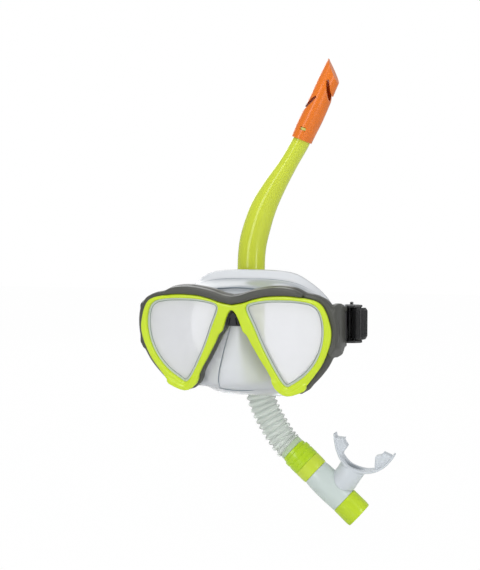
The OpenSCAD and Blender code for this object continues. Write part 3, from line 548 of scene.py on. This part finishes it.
# each section runs back along the outer face to the outer seal, round its edge and over the thin inner
# feather edge, which is short under the nose, and comes forward again along the inner face
FEATHER, FEATHER_AT_NOSE = 11, 4.95
sections = []
for j in range(count):
    at = [rows[k][j] for k in range(6)]
    n4, n1 = skirt_inward(j, 4), skirt_inward(j, 1)
    fin = Vector((n4.x, 0, n4.z)).normalized()
    reach = FEATHER_AT_NOSE if at[5].z < -40 and abs(at[5].x) < 46 else FEATHER
    inner_lip = Vector((n1.x, max(n1.y, 0), n1.z)).normalized()
    sections.append([
        at[0], at[1], at[2], at[3], at[4], at[5], at[5] + Vector((0, 1.2, 0)),
        at[4] + fin * 1.6 + Vector((0, 6, 0)), at[4] + fin * reach + Vector((0, 10.4, 0)),
        at[4] + fin * reach + Vector((0, 9.2, 0)), at[4] + fin * 3 + Vector((0, 1, 0)),
        at[3] + skirt_inward(j, 3) * 2, at[2] + skirt_inward(j, 2) * 2,
        at[1] + inner_lip * 1.8 + Vector((0, 0.1, 0)), at[0] + Vector((0, 1.8, 0))])
soft_wall = with_modifiers(joined([skin(sections, closed=True)]),
                           ("SUBSURF", {"levels": 1, "render_levels": 1}))
soft_wall.transform(MM)
clear_silicone = moulded("clear_silicone", (0.84, 0.86, 0.89), 0.2, depth=0, tone=0.97, ior=1.38)
wall_tree = clear_silicone.node_tree
wall_skin = wall_tree.nodes["Principled BSDF"]
place = wall_tree.nodes.new("ShaderNodeTexCoord")
axes = wall_tree.nodes.new("ShaderNodeSeparateXYZ")
wall_tree.links.new(place.outputs["Object"], axes.inputs[0])


def fade(axis, first, last, start, end, kind="SMOOTHSTEP"):
    """a value that goes from start to end between two places on the wall"""
    x = wall_tree.nodes.new("ShaderNodeMapRange")
    x.interpolation_type = kind
    x.inputs["From Min"].default_value, x.inputs["From Max"].default_value = first, last
    x.inputs["To Min"].default_value, x.inputs["To Max"].default_value = start, end
    wall_tree.links.new(axes.outputs[axis], x.inputs["Value"])
    return x.outputs["Result"]


# the wall lets less light through towards the brow, and a grey-blue painted shade darkens the brow pocket's
# front
wall_tree.links.new(fade("Z", -0.004, 0.034, 0.5, 0.08), wall_skin.inputs["Transmission Weight"])
brow_shade_mask = wall_tree.nodes.new("ShaderNodeMath")
brow_shade_mask.operation = "MULTIPLY"
wall_tree.links.new(fade("Z", 0.024, 0.034, 0, 0.85), brow_shade_mask.inputs[0])
wall_tree.links.new(fade("Y", -0.027, -0.02, 1, 0.1, "LINEAR"), brow_shade_mask.inputs[1])
# the grey-blue mixed in here is painted shade on the brow pocket's front
shade = wall_tree.nodes.new("ShaderNodeMix")
shade.data_type = "RGBA"
shade.inputs["B"].default_value = (0.4, 0.43, 0.46, 1)
wall_tree.links.new(brow_shade_mask.outputs[0], shade.inputs["Factor"])
wall_tree.links.new(wall_skin.inputs["Base Color"].links[0].from_socket, shade.inputs["A"])
wall_tree.links.new(shade.outputs["Result"], wall_skin.inputs["Base Color"])
piece("skirt_wall", soft_wall, "mask", clear_silicone, "clear_silicone", "skirt", angle=180)

# moulded beads stiffen the skirt: two over the brow, one down the nose pocket and one under it; their dark
# grey-blue colour is painted shade along these folds, and the bead down the nose pocket is drawn on one side
# only, where the shade falls
shaded_bead = moulded("bead_painted_shade", (0.2, 0.25, 0.3), 0.3, depth=0, tone=0.85, milk=0.25)


def along_row(k, first, last):
    """a stretch of the wall's outer face, from one section to another"""
    return [rows[k][j % count] for j in range(first * SPAN, last * SPAN + 1)]


def tapered(path, r):
    """a bead's radius along its path, thin at both ends"""
    return [r * min(1, 0.25 + 4 * min(i, len(path) - 1 - i) / len(path)) for i in range(len(path))]


# the fold down one side of the nose pocket, drawn as a dark line of painted shade
nose_fold_shade = line_curve([Vector(p) for p in [(-6.3, -50.8, 1), (-9.8, -53.7, -14), (-13.2, -53.7, -27),
                                         (-15.8, -53, -38), (-16.4, -52.6, -46), (-15.2, -51.6, -53)]], 4)
lines = [([p + Vector((0, -0.9, 0.7)) for p in along_row(4, -4, 4)], 0.5),
         ([p + Vector((0, -0.2, 0.1)) for p in along_row(2, -3, 3)], 0.6), (nose_fold_shade, 0.45),
         ([p + Vector((0, -0.4, -0.3)) for p in along_row(3, 14, 18)], 0.45)]
beads = joined([bead(p, tapered(p, r)) for p, r in lines])
beads.transform(MM)
piece("skirt_beads", beads, "mask", shaded_bead, "clear_silicone", angle=180)


# ---------- buckles ----------
# Each buckle swings on a steel pin in the frame's lugs. A round bar turns the strap back, and a toothed
# lever with thumb ears bites the strap's ribs. All black moulded nylon, with bright pins.
# the buckles' and levers' sharp edges are lightened as a painted highlight
buckle_black = moulded("buckle_black", (0.007, 0.007, 0.008), 0.34, depth=0.00001, tone=0.7, edge_highlight=0.25)
lever_black = moulded("lever_black", (0.01, 0.01, 0.011), 0.3, depth=0.00001, tone=0.75, edge_highlight=0.3)
pin_steel = moulded("pin_steel", (0.55, 0.56, 0.58), 0.22, depth=0, tone=0.9)
pin_steel.node_tree.nodes["Principled BSDF"].inputs["Metallic"].default_value = 1
for side in ("left", "right"):
    for name, finish, slot in (("buckle_body_", buckle_black, "black_plastic"),
                               ("strap_bar_", buckle_black, "black_plastic"),
                               ("lock_pawl_", lever_black, "pawl_black"),
                               ("buckle_pin_", pin_steel, "steel_pin"),
                               ("pawl_pin_", pin_steel, "steel_pin")):
        dress(name + side, finish)

# ---------- strap ----------
# One piece of black silicone rubber: it runs from the ribbed tails round the buckle bars to the back
# of the head, where it is split in two bands.
TAIL_Z, TAIL_H = 3.8, 13.5
tail_run = [(101.2, -9.5, TAIL_Z, 11.8), (100.9, -12.5, TAIL_Z, 13.4), (100.45, -16, TAIL_Z, TAIL_H),
            (99.15, -19.15, TAIL_Z, TAIL_H), (96, -20.45, TAIL_Z, TAIL_H), (92.85, -19.15, TAIL_Z, TAIL_H),
            (91.55, -16, TAIL_Z, TAIL_H), (91.5, -8, TAIL_Z, TAIL_H), (91.2, 0, 3.9, 13)]
wide_run = [(89.4, 7, 6, 11.4), (84, 14, 11.6, 9.6), (74, 19.2, 20, 8), (61, 23, 27.2, 7.6),
            (46, 25, 31, 9.4), (30, 25.6, 32.4, 11.8), (10, 25.6, 32.4, 12)]
low_run = [(89.4, 7, 4, 11.6), (84, 14, 4.4, 10), (74, 19.2, 5, 8.6), (61, 23, 7.4, 7.6),
           (51, 24.6, 16.5, 6.2), (42, 25.4, 24.6, 6.4), (32, 25.6, 29.6, 8.6), (20, 25.6, 32.2, 11.8),
           (10, 25.6, 32.4, 12)]


def band_rings(points):
    """sections of the strap along its route (x, y, middle height, half height), and its outer line"""
    run = line_curve([Vector(p) for p in points], 5)
    sections, outer = [], []
    for i, p in enumerate(run):
        a, b = run[max(i - 1, 0)], run[min(i + 1, len(run) - 1)]
        d = Vector((b[0] - a[0], b[1] - a[1])).normalized()
        h = Vector((-d.y, d.x)) * 1.2
        z0, z1 = p[2] - p[3], p[2] + p[3]
        sections.append([Vector((p[0] + h.x * q, p[1] + h.y * q, z)) for q, z in
                         [(-0.7, z0 + 0.1), (-1, z0 + 0.55), (-1, z0 + 2), (-1, z1 - 2), (-1, z1 - 0.55),
                          (-0.7, z1 - 0.1), (0.7, z1 - 0.1), (1, z1 - 0.55), (1, z1 - 2), (1, z0 + 2),
                          (1, z0 + 0.55), (0.7, z0 + 0.1)]])
        outer.append(Vector((p[0] + h.x, p[1] + h.y, TAIL_Z)))
    return sections, outer


def cut(mesh, tool, how="DIFFERENCE"):
    """the mesh with this tool's shape taken out of it, or added to it"""
    o = bpy.data.objects.new("tool", tool)
    scene.collection.objects.link(o)
    made = with_modifiers(mesh, ("BOOLEAN", {"operation": how, "object": o, "solver": "EXACT"}))
    bpy.data.objects.remove(o)
    return made


near_side, outer_face = band_rings(tail_run + low_run)
far_side = band_rings(tail_run + wide_run)[0]
band = near_side + [[Vector((-q.x, q.y, q.z)) for q in r] for r in reversed(far_side)]
# a long slit with round ends parts the two bands at the back
SLIT = 1.8
slot_cut = plate([[Vector((x + SLIT * math.cos(math.radians(a)), SLIT * math.sin(math.radians(a))))
                   for x, a0 in ((18, -90), (-34, 90)) for a in range(a0, a0 + 181, 15)]], -12, 12, 0)
slot_cut.transform(Matrix.Translation((0, 25, 32.4)) @ Matrix.Rotation(math.radians(90), 4, "X"))
bands = cut(joined([skin(band)]), joined([slot_cut]))
bands.transform(MM)
strap_rubber = moulded("strap_rubber", (0.008, 0.008, 0.009), 0.4, grain=0.0005, depth=0.00002,
                       tone=0.75, sheen=0.05)
# the band is drawn as two halves, one for each buckle
for s, side in ((1, "left"), (-1, "right")):
    b = bmesh.new()
    b.from_mesh(bands)
    cut_line = bmesh.ops.bisect_plane(b, geom=b.verts[:] + b.edges[:] + b.faces[:], plane_co=(0, 0, 0),
                                      plane_no=(s, 0, 0), clear_inner=True)["geom_cut"]
    bmesh.ops.holes_fill(b, edges=[e for e in cut_line if isinstance(e, bmesh.types.BMEdge)], sides=0)
    bmesh.ops.recalc_face_normals(b, faces=b.faces)
    made = bpy.data.meshes.new("half")
    b.to_mesh(made)
    b.free()
    o = piece("strap_half_" + side, made, None, strap_rubber, "strap_rubber",
              *(["strap"] if side == "left" else []), angle=35)
    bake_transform(o)


def tree_on_path(name, sizes, material, result):
    """a tree with named sizes that resamples its path and ends in real meshes of its material"""
    tree = bpy.data.node_groups.new(name, "GeometryNodeTree")
    tree.interface.new_socket("Path", in_out="INPUT", socket_type="NodeSocketGeometry")
    for label, value in sizes:
        size = tree.interface.new_socket(label, in_out="INPUT", socket_type="NodeSocketFloat")
        size.default_value = value
    tree.interface.new_socket(material, in_out="INPUT", socket_type="NodeSocketMaterial")
    tree.interface.new_socket(result, in_out="OUTPUT", socket_type="NodeSocketGeometry")
    n, l = tree.nodes, tree.links
    start, end = n.new("NodeGroupInput"), n.new("NodeGroupOutput")
    curve, even = n.new("GeometryNodeMeshToCurve"), n.new("GeometryNodeResampleCurve")
    real, paint = n.new("GeometryNodeRealizeInstances"), n.new("GeometryNodeSetMaterial")
    l.new(start.outputs["Path"], curve.inputs["Mesh"])
    l.new(curve.outputs["Curve"], even.inputs["Curve"])
    l.new(real.outputs["Geometry"], paint.inputs["Geometry"])
    l.new(start.outputs[material], paint.inputs["Material"])
    l.new(paint.outputs["Geometry"], end.inputs[result])
    return tree, start, even, real


def rib_tree():
    """the ribs that the lever bites: bars across the strap, evenly spaced along each tail"""
    sizes = ("Spacing", 0.0016), ("Rib height", 0.022), ("Rib width", 0.0009)
    tree, start, even, real = tree_on_path("strap_ribs", sizes, "Rubber", "Ribs")
    n, l = tree.nodes, tree.links
    even.mode = "LENGTH"
    bar = n.new("GeometryNodeMeshCylinder")
    bar.inputs["Vertices"].default_value = 8
    radius = n.new("ShaderNodeMath")
    radius.operation = "MULTIPLY"
    radius.inputs[1].default_value = 0.5
    put = n.new("GeometryNodeInstanceOnPoints")
    l.new(start.outputs["Spacing"], even.inputs["Length"])
    l.new(even.outputs["Curve"], put.inputs["Points"])
    l.new(start.outputs["Rib width"], radius.inputs[0])
    l.new(radius.outputs[0], bar.inputs["Radius"])
    l.new(start.outputs["Rib height"], bar.inputs["Depth"])
    l.new(bar.outputs["Mesh"], put.inputs["Instance"])
    l.new(put.outputs["Instances"], real.inputs["Geometry"])
    return tree


def grown_by_nodes(tree, path, values):
    """the plain mesh that a node tree makes on this line of points"""
    line = bpy.data.meshes.new("line")
    line.from_pydata([tuple(p) for p in path], [(i, i + 1) for i in range(len(path) - 1)], [])
    o = bpy.data.objects.new("line", line)
    scene.collection.objects.link(o)
    mod = o.modifiers.new("tree", "NODES")
    mod.node_group = tree
    for item in tree.interface.items_tree:
        if item.in_out == "INPUT" and item.name in values:
            mod[item.identifier] = values[item.name]
    bpy.context.view_layer.update()
    made = bpy.data.meshes.new_from_object(o.evaluated_get(bpy.context.evaluated_depsgraph_get()))
    bpy.data.objects.remove(o)
    return made


ribs = rib_tree()
tail = [p * 0.001 for p in outer_face[1:20]]
for s, side in ((1, "left"), (-1, "right")):
    made = grown_by_nodes(ribs, [Vector((s * p.x, p.y, p.z)) for p in tail], {"Rubber": strap_rubber})
    piece("strap_ribs_" + side, made, "buckle_" + side, strap_rubber, "strap_rubber", angle=60)

# ---------- snorkel keeper ----------
# A black rubber clip rides on the strap and holds the snorkel to it. Its ring is moulded apart: it grips
# the tube and turns on the clip's hub.
keeper_rubber = moulded("keeper_rubber", (0.02, 0.02, 0.022), 0.5, depth=0.00002, tone=0.75, sheen=0.1)
for name in ("keeper_clip", "keeper_ring"):
    dress(name, keeper_rubber)

# ---------- tube ----------
# The tube is blown in lime PVC with a 2 mm wall. It is round below and drawn to a slim oval where it
# curves over the head, with a small catch at its top that holds the cap.
TUBE_R, WALL, SNORKEL_Y = 13.05, 2, 45
# places up the tube (x, z), and how slim it is there across and in depth
tube_side = [(-13.8, -63.1, 1, 1), (-17.7, -46, 1, 1), (-20.5, -25, 1, 1), (-21.2, -8, 1, 1),
             (-21.2, 20, 1, 1), (-21.2, 48, 1, 1), (-20.3, 65, 1, 1), (-17.4, 80, 1, 1),
             (-9.8, 103, 0.94, 0.98), (0.8, 122.9, 0.8, 0.93), (15.6, 145.8, 0.62, 0.86),
             (27.8, 165.9, 0.61, 0.84), (32.8, 177.4, 0.54, 0.8)]


def oval(c, t, a, b, n=48):
    """a ring square to a line in the snorkel's own plane"""
    turns = [2 * math.pi * i / n for i in range(n)]
    return [Vector((c[0] + t[1] * a * math.cos(w), SNORKEL_Y + b * math.sin(w),
                    c[1] - t[0] * a * math.cos(w))) for w in turns]


def heading(path, i):
    """the way a line runs at its point i"""
    a, b = path[max(i - 1, 0)], path[min(i + 1, len(path) - 1)]
    return Vector((b[0] - a[0], b[1] - a[1])).normalized()


route = line_curve([Vector(p) for p in tube_side], 6)
outside = [oval(p, heading(route, i), TUBE_R * p[2], TUBE_R * p[3]) for i, p in enumerate(route)]
inside = [oval(p, heading(route, i), TUBE_R * p[2] - WALL, TUBE_R * p[3] - WALL) for i, p in enumerate(route)]


def block(wide, deep, high, at):
    """a small rounded block turned to the cap's lean"""
    made = plate([[Vector((x * wide / 2, y * deep / 2)) for x, y in ((-1, -1), (1, -1), (1, 1), (-1, 1))]],
                 -high / 2, high / 2, 0.15)
    made.transform(Matrix.Translation(at) @ Matrix.Rotation(math.radians(23.6), 4, "Y"))
    return made


pipe = joined([skin(outside + inside[::-1], closed=True), block(5, 1.8, 2.4, (33, 34.6, 176))])
pipe.transform(MM)
tube_lime = moulded("tube_lime", (0.64, 0.73, 0.045), 0.14, depth=0, tone=0.95)
piece("tube_pipe", pipe, "snorkel", tube_lime, "tube_lime", "snorkel_tube", angle=50)

# ---------- splash cap ----------
# The orange splash cap pushes over the tube's top: an oval sleeve with a slanted crown, two slanted
# notches that let splashes out, a partition inside and a small window for the tube's catch.
CAP_X, CAP_Z, CAP_LEAN = 28.4, 167.3, (0.4, 0.9165)
cap_base, cap_dir = Vector((CAP_X, CAP_Z)), Vector(CAP_LEAN)
spine = line_curve([Vector(p) for p in [(-0.2, 0, 9.6, 12.9), (0.1, 10, 9.9, 13.2), (0.9, 22, 10.1, 13.2),
                                        (1.7, 38, 9.6, 12.9), (2.1, 58, 9.4, 10.8), (3.4, 80, 9.3, 5)]], 4)


def cap_ring(p, s, a, b):
    """a ring of the cap, s up its axis and off it by the first value of p"""
    return oval(cap_base + cap_dir * s + Vector((cap_dir.y, -cap_dir.x)) * p[0], cap_dir, a, b, 64)


def in_cap(points, depth):
    """a prism in the cap's own side view"""
    made = plate([[Vector(p) for p in points]], -depth, depth, 0)
    made.transform(Matrix.Translation((CAP_X, SNORKEL_Y, CAP_Z))
                   @ Matrix.Rotation(math.atan2(*CAP_LEAN), 4, "Y")
                   @ Matrix.Rotation(math.radians(90), 4, "X"))
    return joined([made])


sleeve = joined([skin([cap_ring(p, p[1], p[2], p[3]) for p in spine])])
# the room inside: a socket for the tube, then a wider chamber that the slanted partition crosses
hollow = joined([skin([cap_ring((q,), s, a, b) for q, s, a, b in
                       [(0.2, -1, 8.3, 11.3), (0.2, 6, 7.9, 11), (0, 11.9, 7.4, 10.9), (0.6, 13.3, 9, 11.8),
                        (1, 22, 9, 11.9), (1.8, 38, 8.4, 11.5), (2.1, 56, 8.1, 9.5)]])])
hollow = cut(hollow, in_cap([(-20, 30), (-4, 33), (3, 42), (-1, 43), (-7, 38), (-20, 37)], 20))
cap = cut(sleeve, hollow)
# the slanted crown, the lower notch and the upper one
for shape in ([(-5.6, 77), (-4.8, 75.6), (11, 60), (12.2, 57.4), (13.2, 45.6), (20, 44), (20, 100),
               (-20, 100), (-20, 80)],
              [(-30, 23.8), (-8.1, 23.8), (-4.3, 29.7), (-1, 34.8), (1.2, 40.4), (-0.4, 41.6),
               (-3.6, 37.4), (-8.1, 29.3), (-30, 29.3)],
              [(30, 41.2), (10.6, 41.2), (5.3, 52), (3.2, 57.4), (4.2, 59.2), (5.6, 58), (12, 45.2),
               (30, 45.2)]):
    cap = cut(cap, in_cap(shape, 20))
cap = cut(cap, joined([block(5.6, 5, 3, (33, 33, 176))]))
cap.transform(MM)
cap_orange = moulded("cap_orange", (0.84, 0.19, 0.008), 0.26, depth=0, tone=0.92)
piece("cap_sleeve", cap, "snorkel", cap_orange, "cap_orange", "splash_cap", angle=30)


# ---------- hose ----------
# The bend below the tube is a ribbed hose, blown thin in clear PVC so that it flexes. It ends in a plug
# that is pushed into the tube above and into the coupling below.
def hose_tree():
    """a corrugated wall along a path, which swells from its root to its crest at each rib"""
    sizes = ("Ribs", 12), ("Root radius", 0.0112), ("Crest radius", 0.0138)
    tree, start, even, real = tree_on_path("ribbed_hose", sizes, "Clear", "Hose")
    n, l = tree.nodes, tree.links
    even.inputs["Count"].default_value = 145
    along = n.new("GeometryNodeSplineParameter")

    def maths(how, a, b):
        x = n.new("ShaderNodeMath")
        x.operation = how
        for k, v in enumerate((a, b)):
            if v is None:
                continue
            if isinstance(v, (int, float)):
                x.inputs[k].default_value = v
            else:
                l.new(v, x.inputs[k])
        return x.outputs[0]

    turn = maths("MULTIPLY", maths("MULTIPLY", along.outputs["Factor"], start.outputs["Ribs"]), 2 * math.pi)
    wave = maths("MULTIPLY", maths("SUBTRACT", 1, maths("COSINE", turn, None)), 0.5)
    wave = maths("POWER", wave, 0.5)
    height = maths("SUBTRACT", start.outputs["Crest radius"], start.outputs["Root radius"])
    swell = maths("MULTIPLY", wave, height)
    size = maths("ADD", swell, start.outputs["Root radius"])
    give = n.new("GeometryNodeSetCurveRadius")
    circle = n.new("GeometryNodeCurvePrimitiveCircle")
    circle.inputs["Resolution"].default_value = 48
    circle.inputs["Radius"].default_value = 1
    sweep = n.new("GeometryNodeCurveToMesh")
    radius = n.new("GeometryNodeInputRadius")
    l.new(even.outputs["Curve"], give.inputs["Curve"])
    l.new(size, give.inputs["Radius"])
    l.new(give.outputs["Curve"], sweep.inputs["Curve"])
    l.new(circle.outputs["Curve"], sweep.inputs["Profile Curve"])
    l.new(radius.outputs[0], sweep.inputs["Scale"])
    l.new(sweep.outputs["Mesh"], real.inputs["Geometry"])
    return tree


# the bend's middle line in side view, from the tube's end to the coupling; its ends are left smooth
bend = line_curve([(-13.7, -63.5), (-9, -80.6), (0.8, -99), (12.2, -115.3), (20.7, -122.8)], 24)
hose_clear = moulded("hose_clear", (0.93, 0.97, 0.93), 0.1, depth=0, tone=0.98, milk=0.6, ior=1.3)
ribbed = bend[int(0.05 * len(bend)):int(0.9 * len(bend))]
hose_line = [Vector((p[0], SNORKEL_Y, p[1])) * 0.001 for p in ribbed]
corrugated = grown_by_nodes(hose_tree(), hose_line, {"Clear": hose_clear})
wall = with_modifiers(joined([corrugated]), ("SOLIDIFY", {"thickness": 0.0011, "offset": -1}))
# the two plugs, each a short sleeve set in the end that it fills
plugs = []
for c, t, r in ((bend[0], heading(bend, 1), 10.4), (bend[-1], Vector((-0.7507, 0.6607)), 10.5)):
    rings = [oval(c + t * s, t, a, a) for s, a in ((-6.5, r - 1.5), (-6.5, r), (0, r), (6, 11.1), (6, 9.4))]
    x = skin(rings, closed=True)
    x.transform(MM)
    plugs.append(x)
hose = joined([wall] + plugs)
o = piece("hose_wall", hose, None, hose_clear, "hose_clear", "hose", angle=60)
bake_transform(o)

# ---------- coupling ----------
# A lime nut sits on the hose's lower plug, below a clear cuff. A lighter ring with grip grooves holds the
# barrel's collar, so that the barrel turns in the coupling.
ALONG = (Matrix.Translation((0.022, SNORKEL_Y / 1000, -0.1239))
         @ Matrix.Rotation(math.radians(131.35), 4, "Y") @ Matrix.Rotation(math.pi, 4, "Z"))


def turned(profile, n=96):
    """a lathed ring from its section: radius and place along the barrel, in millimetres"""
    turns = [2 * math.pi * k / n for k in range(n)]
    made = skin([[Vector((r * math.cos(w), r * math.sin(w), t)) for w in turns] for r, t in profile],
                closed=True)
    made.transform(ALONG @ MM)
    return joined([made])


cuff = turned([(11.3, -7.4), (12, -7.4), (12.3, -7), (12.4, -1.9), (12.1, -1.6), (11.3, -1.6)])
cuff_clear = moulded("cuff_clear", (0.72, 0.86, 0.6), 0.2, depth=0, tone=0.96, milk=0.35, ior=1.3)
piece("hose_cuff", cuff, "coupling", cuff_clear, "hose_clear", angle=40)
nut_lime = moulded("nut_lime", (0.5, 0.74, 0.012), 0.2, depth=0, tone=0.94)
nut = turned([(11.05, -1.4), (12.3, -1.4), (12.6, -1.1), (12.9, 1.2), (12.9, 1.9), (13.8, 2.2), (14.1, 2.6),
              (14.2, 3.1), (14.2, 6.5), (14, 6.9), (13.7, 7.2), (13.7, 8), (14, 8.3), (14.2, 8.7),
              (14.2, 12.2), (14, 12.4), (14, 12.8), (14.2, 13), (14.2, 15.4), (14, 16.1), (13.6, 16.4),
              (12.05, 16.4), (12.05, 8), (11.05, 8)])
piece("nut_turned", nut, "coupling", nut_lime, "nut_lime", "swivel_nut", angle=14)
ring_lime = moulded("ring_lime", (0.62, 0.78, 0.05), 0.2, depth=0, tone=0.95)
dress("nut_ring", ring_lime)

# ---------- barrel ----------
# The barrel is moulded in milky polyethylene, with a collar that the coupling holds and a side port.
# The mouthpiece pushes over the port's lip, and the drain's seat sits in the lower end.
def barrel_bar(radius, t0, t1, at_port=True):
    """a round bar along the barrel, or along its side port"""
    turns = [2 * math.pi * k / 64 for k in range(64)]
    made = skin([[Vector((radius * math.cos(w), radius * math.sin(w), t)) for w in turns] for t in (t0, t1)])
    if at_port:
        made.transform(Matrix.Translation((0, 0, PORT)) @ Matrix.Rotation(math.radians(90), 4, "Y"))
    made.transform(MM.inverted() @ ALONG @ MM)
    return joined([made])


# the port's middle along the barrel; the port's wall and its lip are added, then its bore is cut
PORT = 52
tank = turned([(10.2, 8.4), (12, 8.4), (12, 28.1), (13.1, 28.1), (13.7, 32), (14.1, 40), (14, 50), (13.6, 58),
               (13.2, 64), (11.6, 64), (11.6, 75), (9.8, 75), (9.8, 63), (11.4, 63), (11.4, 29), (10.2, 29)])
tank.transform(MM.inverted())
for tool, how in ((barrel_bar(8, 12.6, 21.8), "UNION"), (barrel_bar(8.6, 20.2, 21.8), "UNION"),
                  (barrel_bar(6.4, 2, 32), "DIFFERENCE")):
    tank = cut(tank, tool, how)
tank.transform(MM)
barrel_milk = moulded("barrel_milk", (0.72, 0.81, 0.78), 0.22, depth=0, tone=0.95, milk=0.1)
piece("barrel_tank", tank, "mouth", barrel_milk, "barrel_milky", "barrel", angle=35)

# ---------- mouthpiece ----------
# The mouthpiece is cast in one piece of milky silicone: a waisted duct that stretches over the barrel's
# port, a curved lip flange that sits between lips and gums, and two stepped bite tabs.
# the bite's middle in side view, the way out of the duct there, and the way across it
mouth, mouth_w, mouth_u = Vector((82.7, -134.4)), Vector((0.276, 0.961)), Vector((0.961, -0.276))
flange = line_curve([(-29, 23.6), (-26, 17.4), (-21.4, 9.8), (-15.6, 3.6), (-8.6, -0.6), (-0.5, -1.8),
                     (8.4, -0.6), (17, 3.8), (23.4, 10.4), (27.2, 17.4), (28.8, 23.8)], 4)
# the flange's half height and half thickness at its middle, and what they lose towards its tips
FLANGE_H, TIP_LOSS = 8.6, 4
FLANGE_T, TIP_THIN = 1.25, 0.5
rings = []
for i, p in enumerate(flange):
    f = abs(2 * i / (len(flange) - 1) - 1)
    d = heading(flange, i)
    k = (mouth_u * -d.y + mouth_w * d.x).normalized()
    c = mouth + mouth_u * p[0] + mouth_w * p[1]
    h, t = FLANGE_H - TIP_LOSS * f ** 3, FLANGE_T - TIP_THIN * f
    rings.append([Vector((c.x + k.x * t * a, SNORKEL_Y + h * b, c.y + k.y * t * a)) for a, b in
                  [(-1, 0.9), (-0.5, 1), (0.5, 1), (1, 0.9), (1, -0.9), (0.5, -1), (-0.5, -1), (-1, -0.9)]])
blade = joined([skin(rings)])


def duct_rings(stations):
    """ovals through stations of place across and along the bite, half width, half depth and lean"""
    out = []
    for p in line_curve([Vector(q) for q in stations], 3):
        w = math.radians(p[4])
        d = (mouth_w * math.cos(w) + mouth_u * math.sin(w)).normalized()
        out.append(oval(mouth + mouth_u * p[0] + mouth_w * p[1], d, p[2], p[3], 40))
    return out


def in_mouth(points, y0, y1):
    """a prism in the mouthpiece's side view, with soft edges where it is thin"""
    made = plate([[Vector(p) for p in points]], y0, y1, 0.9 if y1 < 12 else 0)
    turn = Matrix(((mouth_u.x, 0, mouth_w.x, mouth.x), (0, 1, 0, 0), (mouth_u.y, 0, mouth_w.y, mouth.y),
                   (0, 0, 0, 1)))
    made.transform(Matrix.Translation((0, SNORKEL_Y, 0)) @ turn @ Matrix.Rotation(math.radians(90), 4, "X"))
    return joined([made])


stem = joined([skin(duct_rings([(-11, -21.4, 12.2, 11.2, 26), (-8.4, -16.3, 12.2, 11, 26),
                                (-6.2, -9.5, 11.9, 10.4, 17), (-4.3, -2.8, 12.2, 8.8, 8),
                                (-3.4, 1.2, 13, 7.8, 3), (-3, 7, 14, 7.6, 0)]))])
stem = cut(stem, in_mouth([tuple(p) for p in flange[9:-9]] + [(24, 30), (-24, 30)], -14, 14))
# the stepped bite tabs, one on each side
tabs = [in_mouth(p, -5, 5) for p in
        ([(-27.7, 21), (-25.8, 20.6), (-18.4, 22.4), (-18.6, 20), (-13.9, 16), (-16.4, 8.6), (-15.8, 4.2),
          (-21.6, 10.4)],
         [(28, 21), (25.6, 21.6), (18.9, 22.2), (18.2, 19.6), (13.2, 16.4), (15, 8), (17, 4.2),
          (23.4, 10.8)])]
whole_mouth = with_modifiers(joined([blade, stem] + tabs), ("REMESH", {"mode": "VOXEL", "voxel_size": 0.42}),
                             ("SMOOTH", {"factor": 0.5, "iterations": 4}))
bore = joined([skin(duct_rings([(-5.1, -9.6, 6.4, 6.4, 25.3), (-4.5, -5, 8.4, 6, 12), (-3.8, -1, 9.6, 4.8, 5),
                                (-3.2, 5, 9.8, 4.6, 0)]))])
# cleared for the barrel, then the breathing slot and the seat for the port and its lip
for tool in (barrel_bar(14.25, 0, 80, False), bore, barrel_bar(8.05, 2, 20.2), barrel_bar(8.7, 20.1, 21.9)):
    whole_mouth = cut(whole_mouth, tool)
whole_mouth = with_modifiers(whole_mouth, ("DECIMATE", {"ratio": 0.4}))
whole_mouth.transform(MM)
mouth_silicone = moulded("mouth_silicone", (0.66, 0.7, 0.74), 0.36, depth=0, tone=0.95)
piece("mouth_duct", whole_mouth, "mouth", mouth_silicone, "mouth_silicone", "mouthpiece", angle=60)

# ---------- drain ----------
# Below the barrel a hard spider seat holds a soft silicone mushroom valve, which lets water out and no
# water in. A slotted lime cap snaps over both.
seat_white = moulded("seat_white", (0.6, 0.63, 0.62), 0.35, depth=0, tone=0.95)
dress("purge_seat", seat_white)
valve_soft = moulded("valve_soft", (0.72, 0.75, 0.74), 0.35, depth=0, tone=0.95, milk=0.2)
valve = turned([(0.001, 77.72), (6, 77.72), (9.6, 77.62), (9.95, 77.4), (9.95, 77.2), (9.6, 77.02),
                (2, 77.02), (1.3, 76.8), (1.18, 76.4), (1.18, 73.9), (1.7, 73.5), (1.88, 73.1), (1.5, 72.6),
                (0.6, 72.42), (0.001, 72.4)], 48)
piece("valve_mushroom", valve, "valve", valve_soft, "valve_silicone", "purge_valve", angle=60)
cap_lime = moulded("cap_lime", (0.56, 0.75, 0.02), 0.22, depth=0, tone=0.94)
dress("purge_cap", cap_lime)
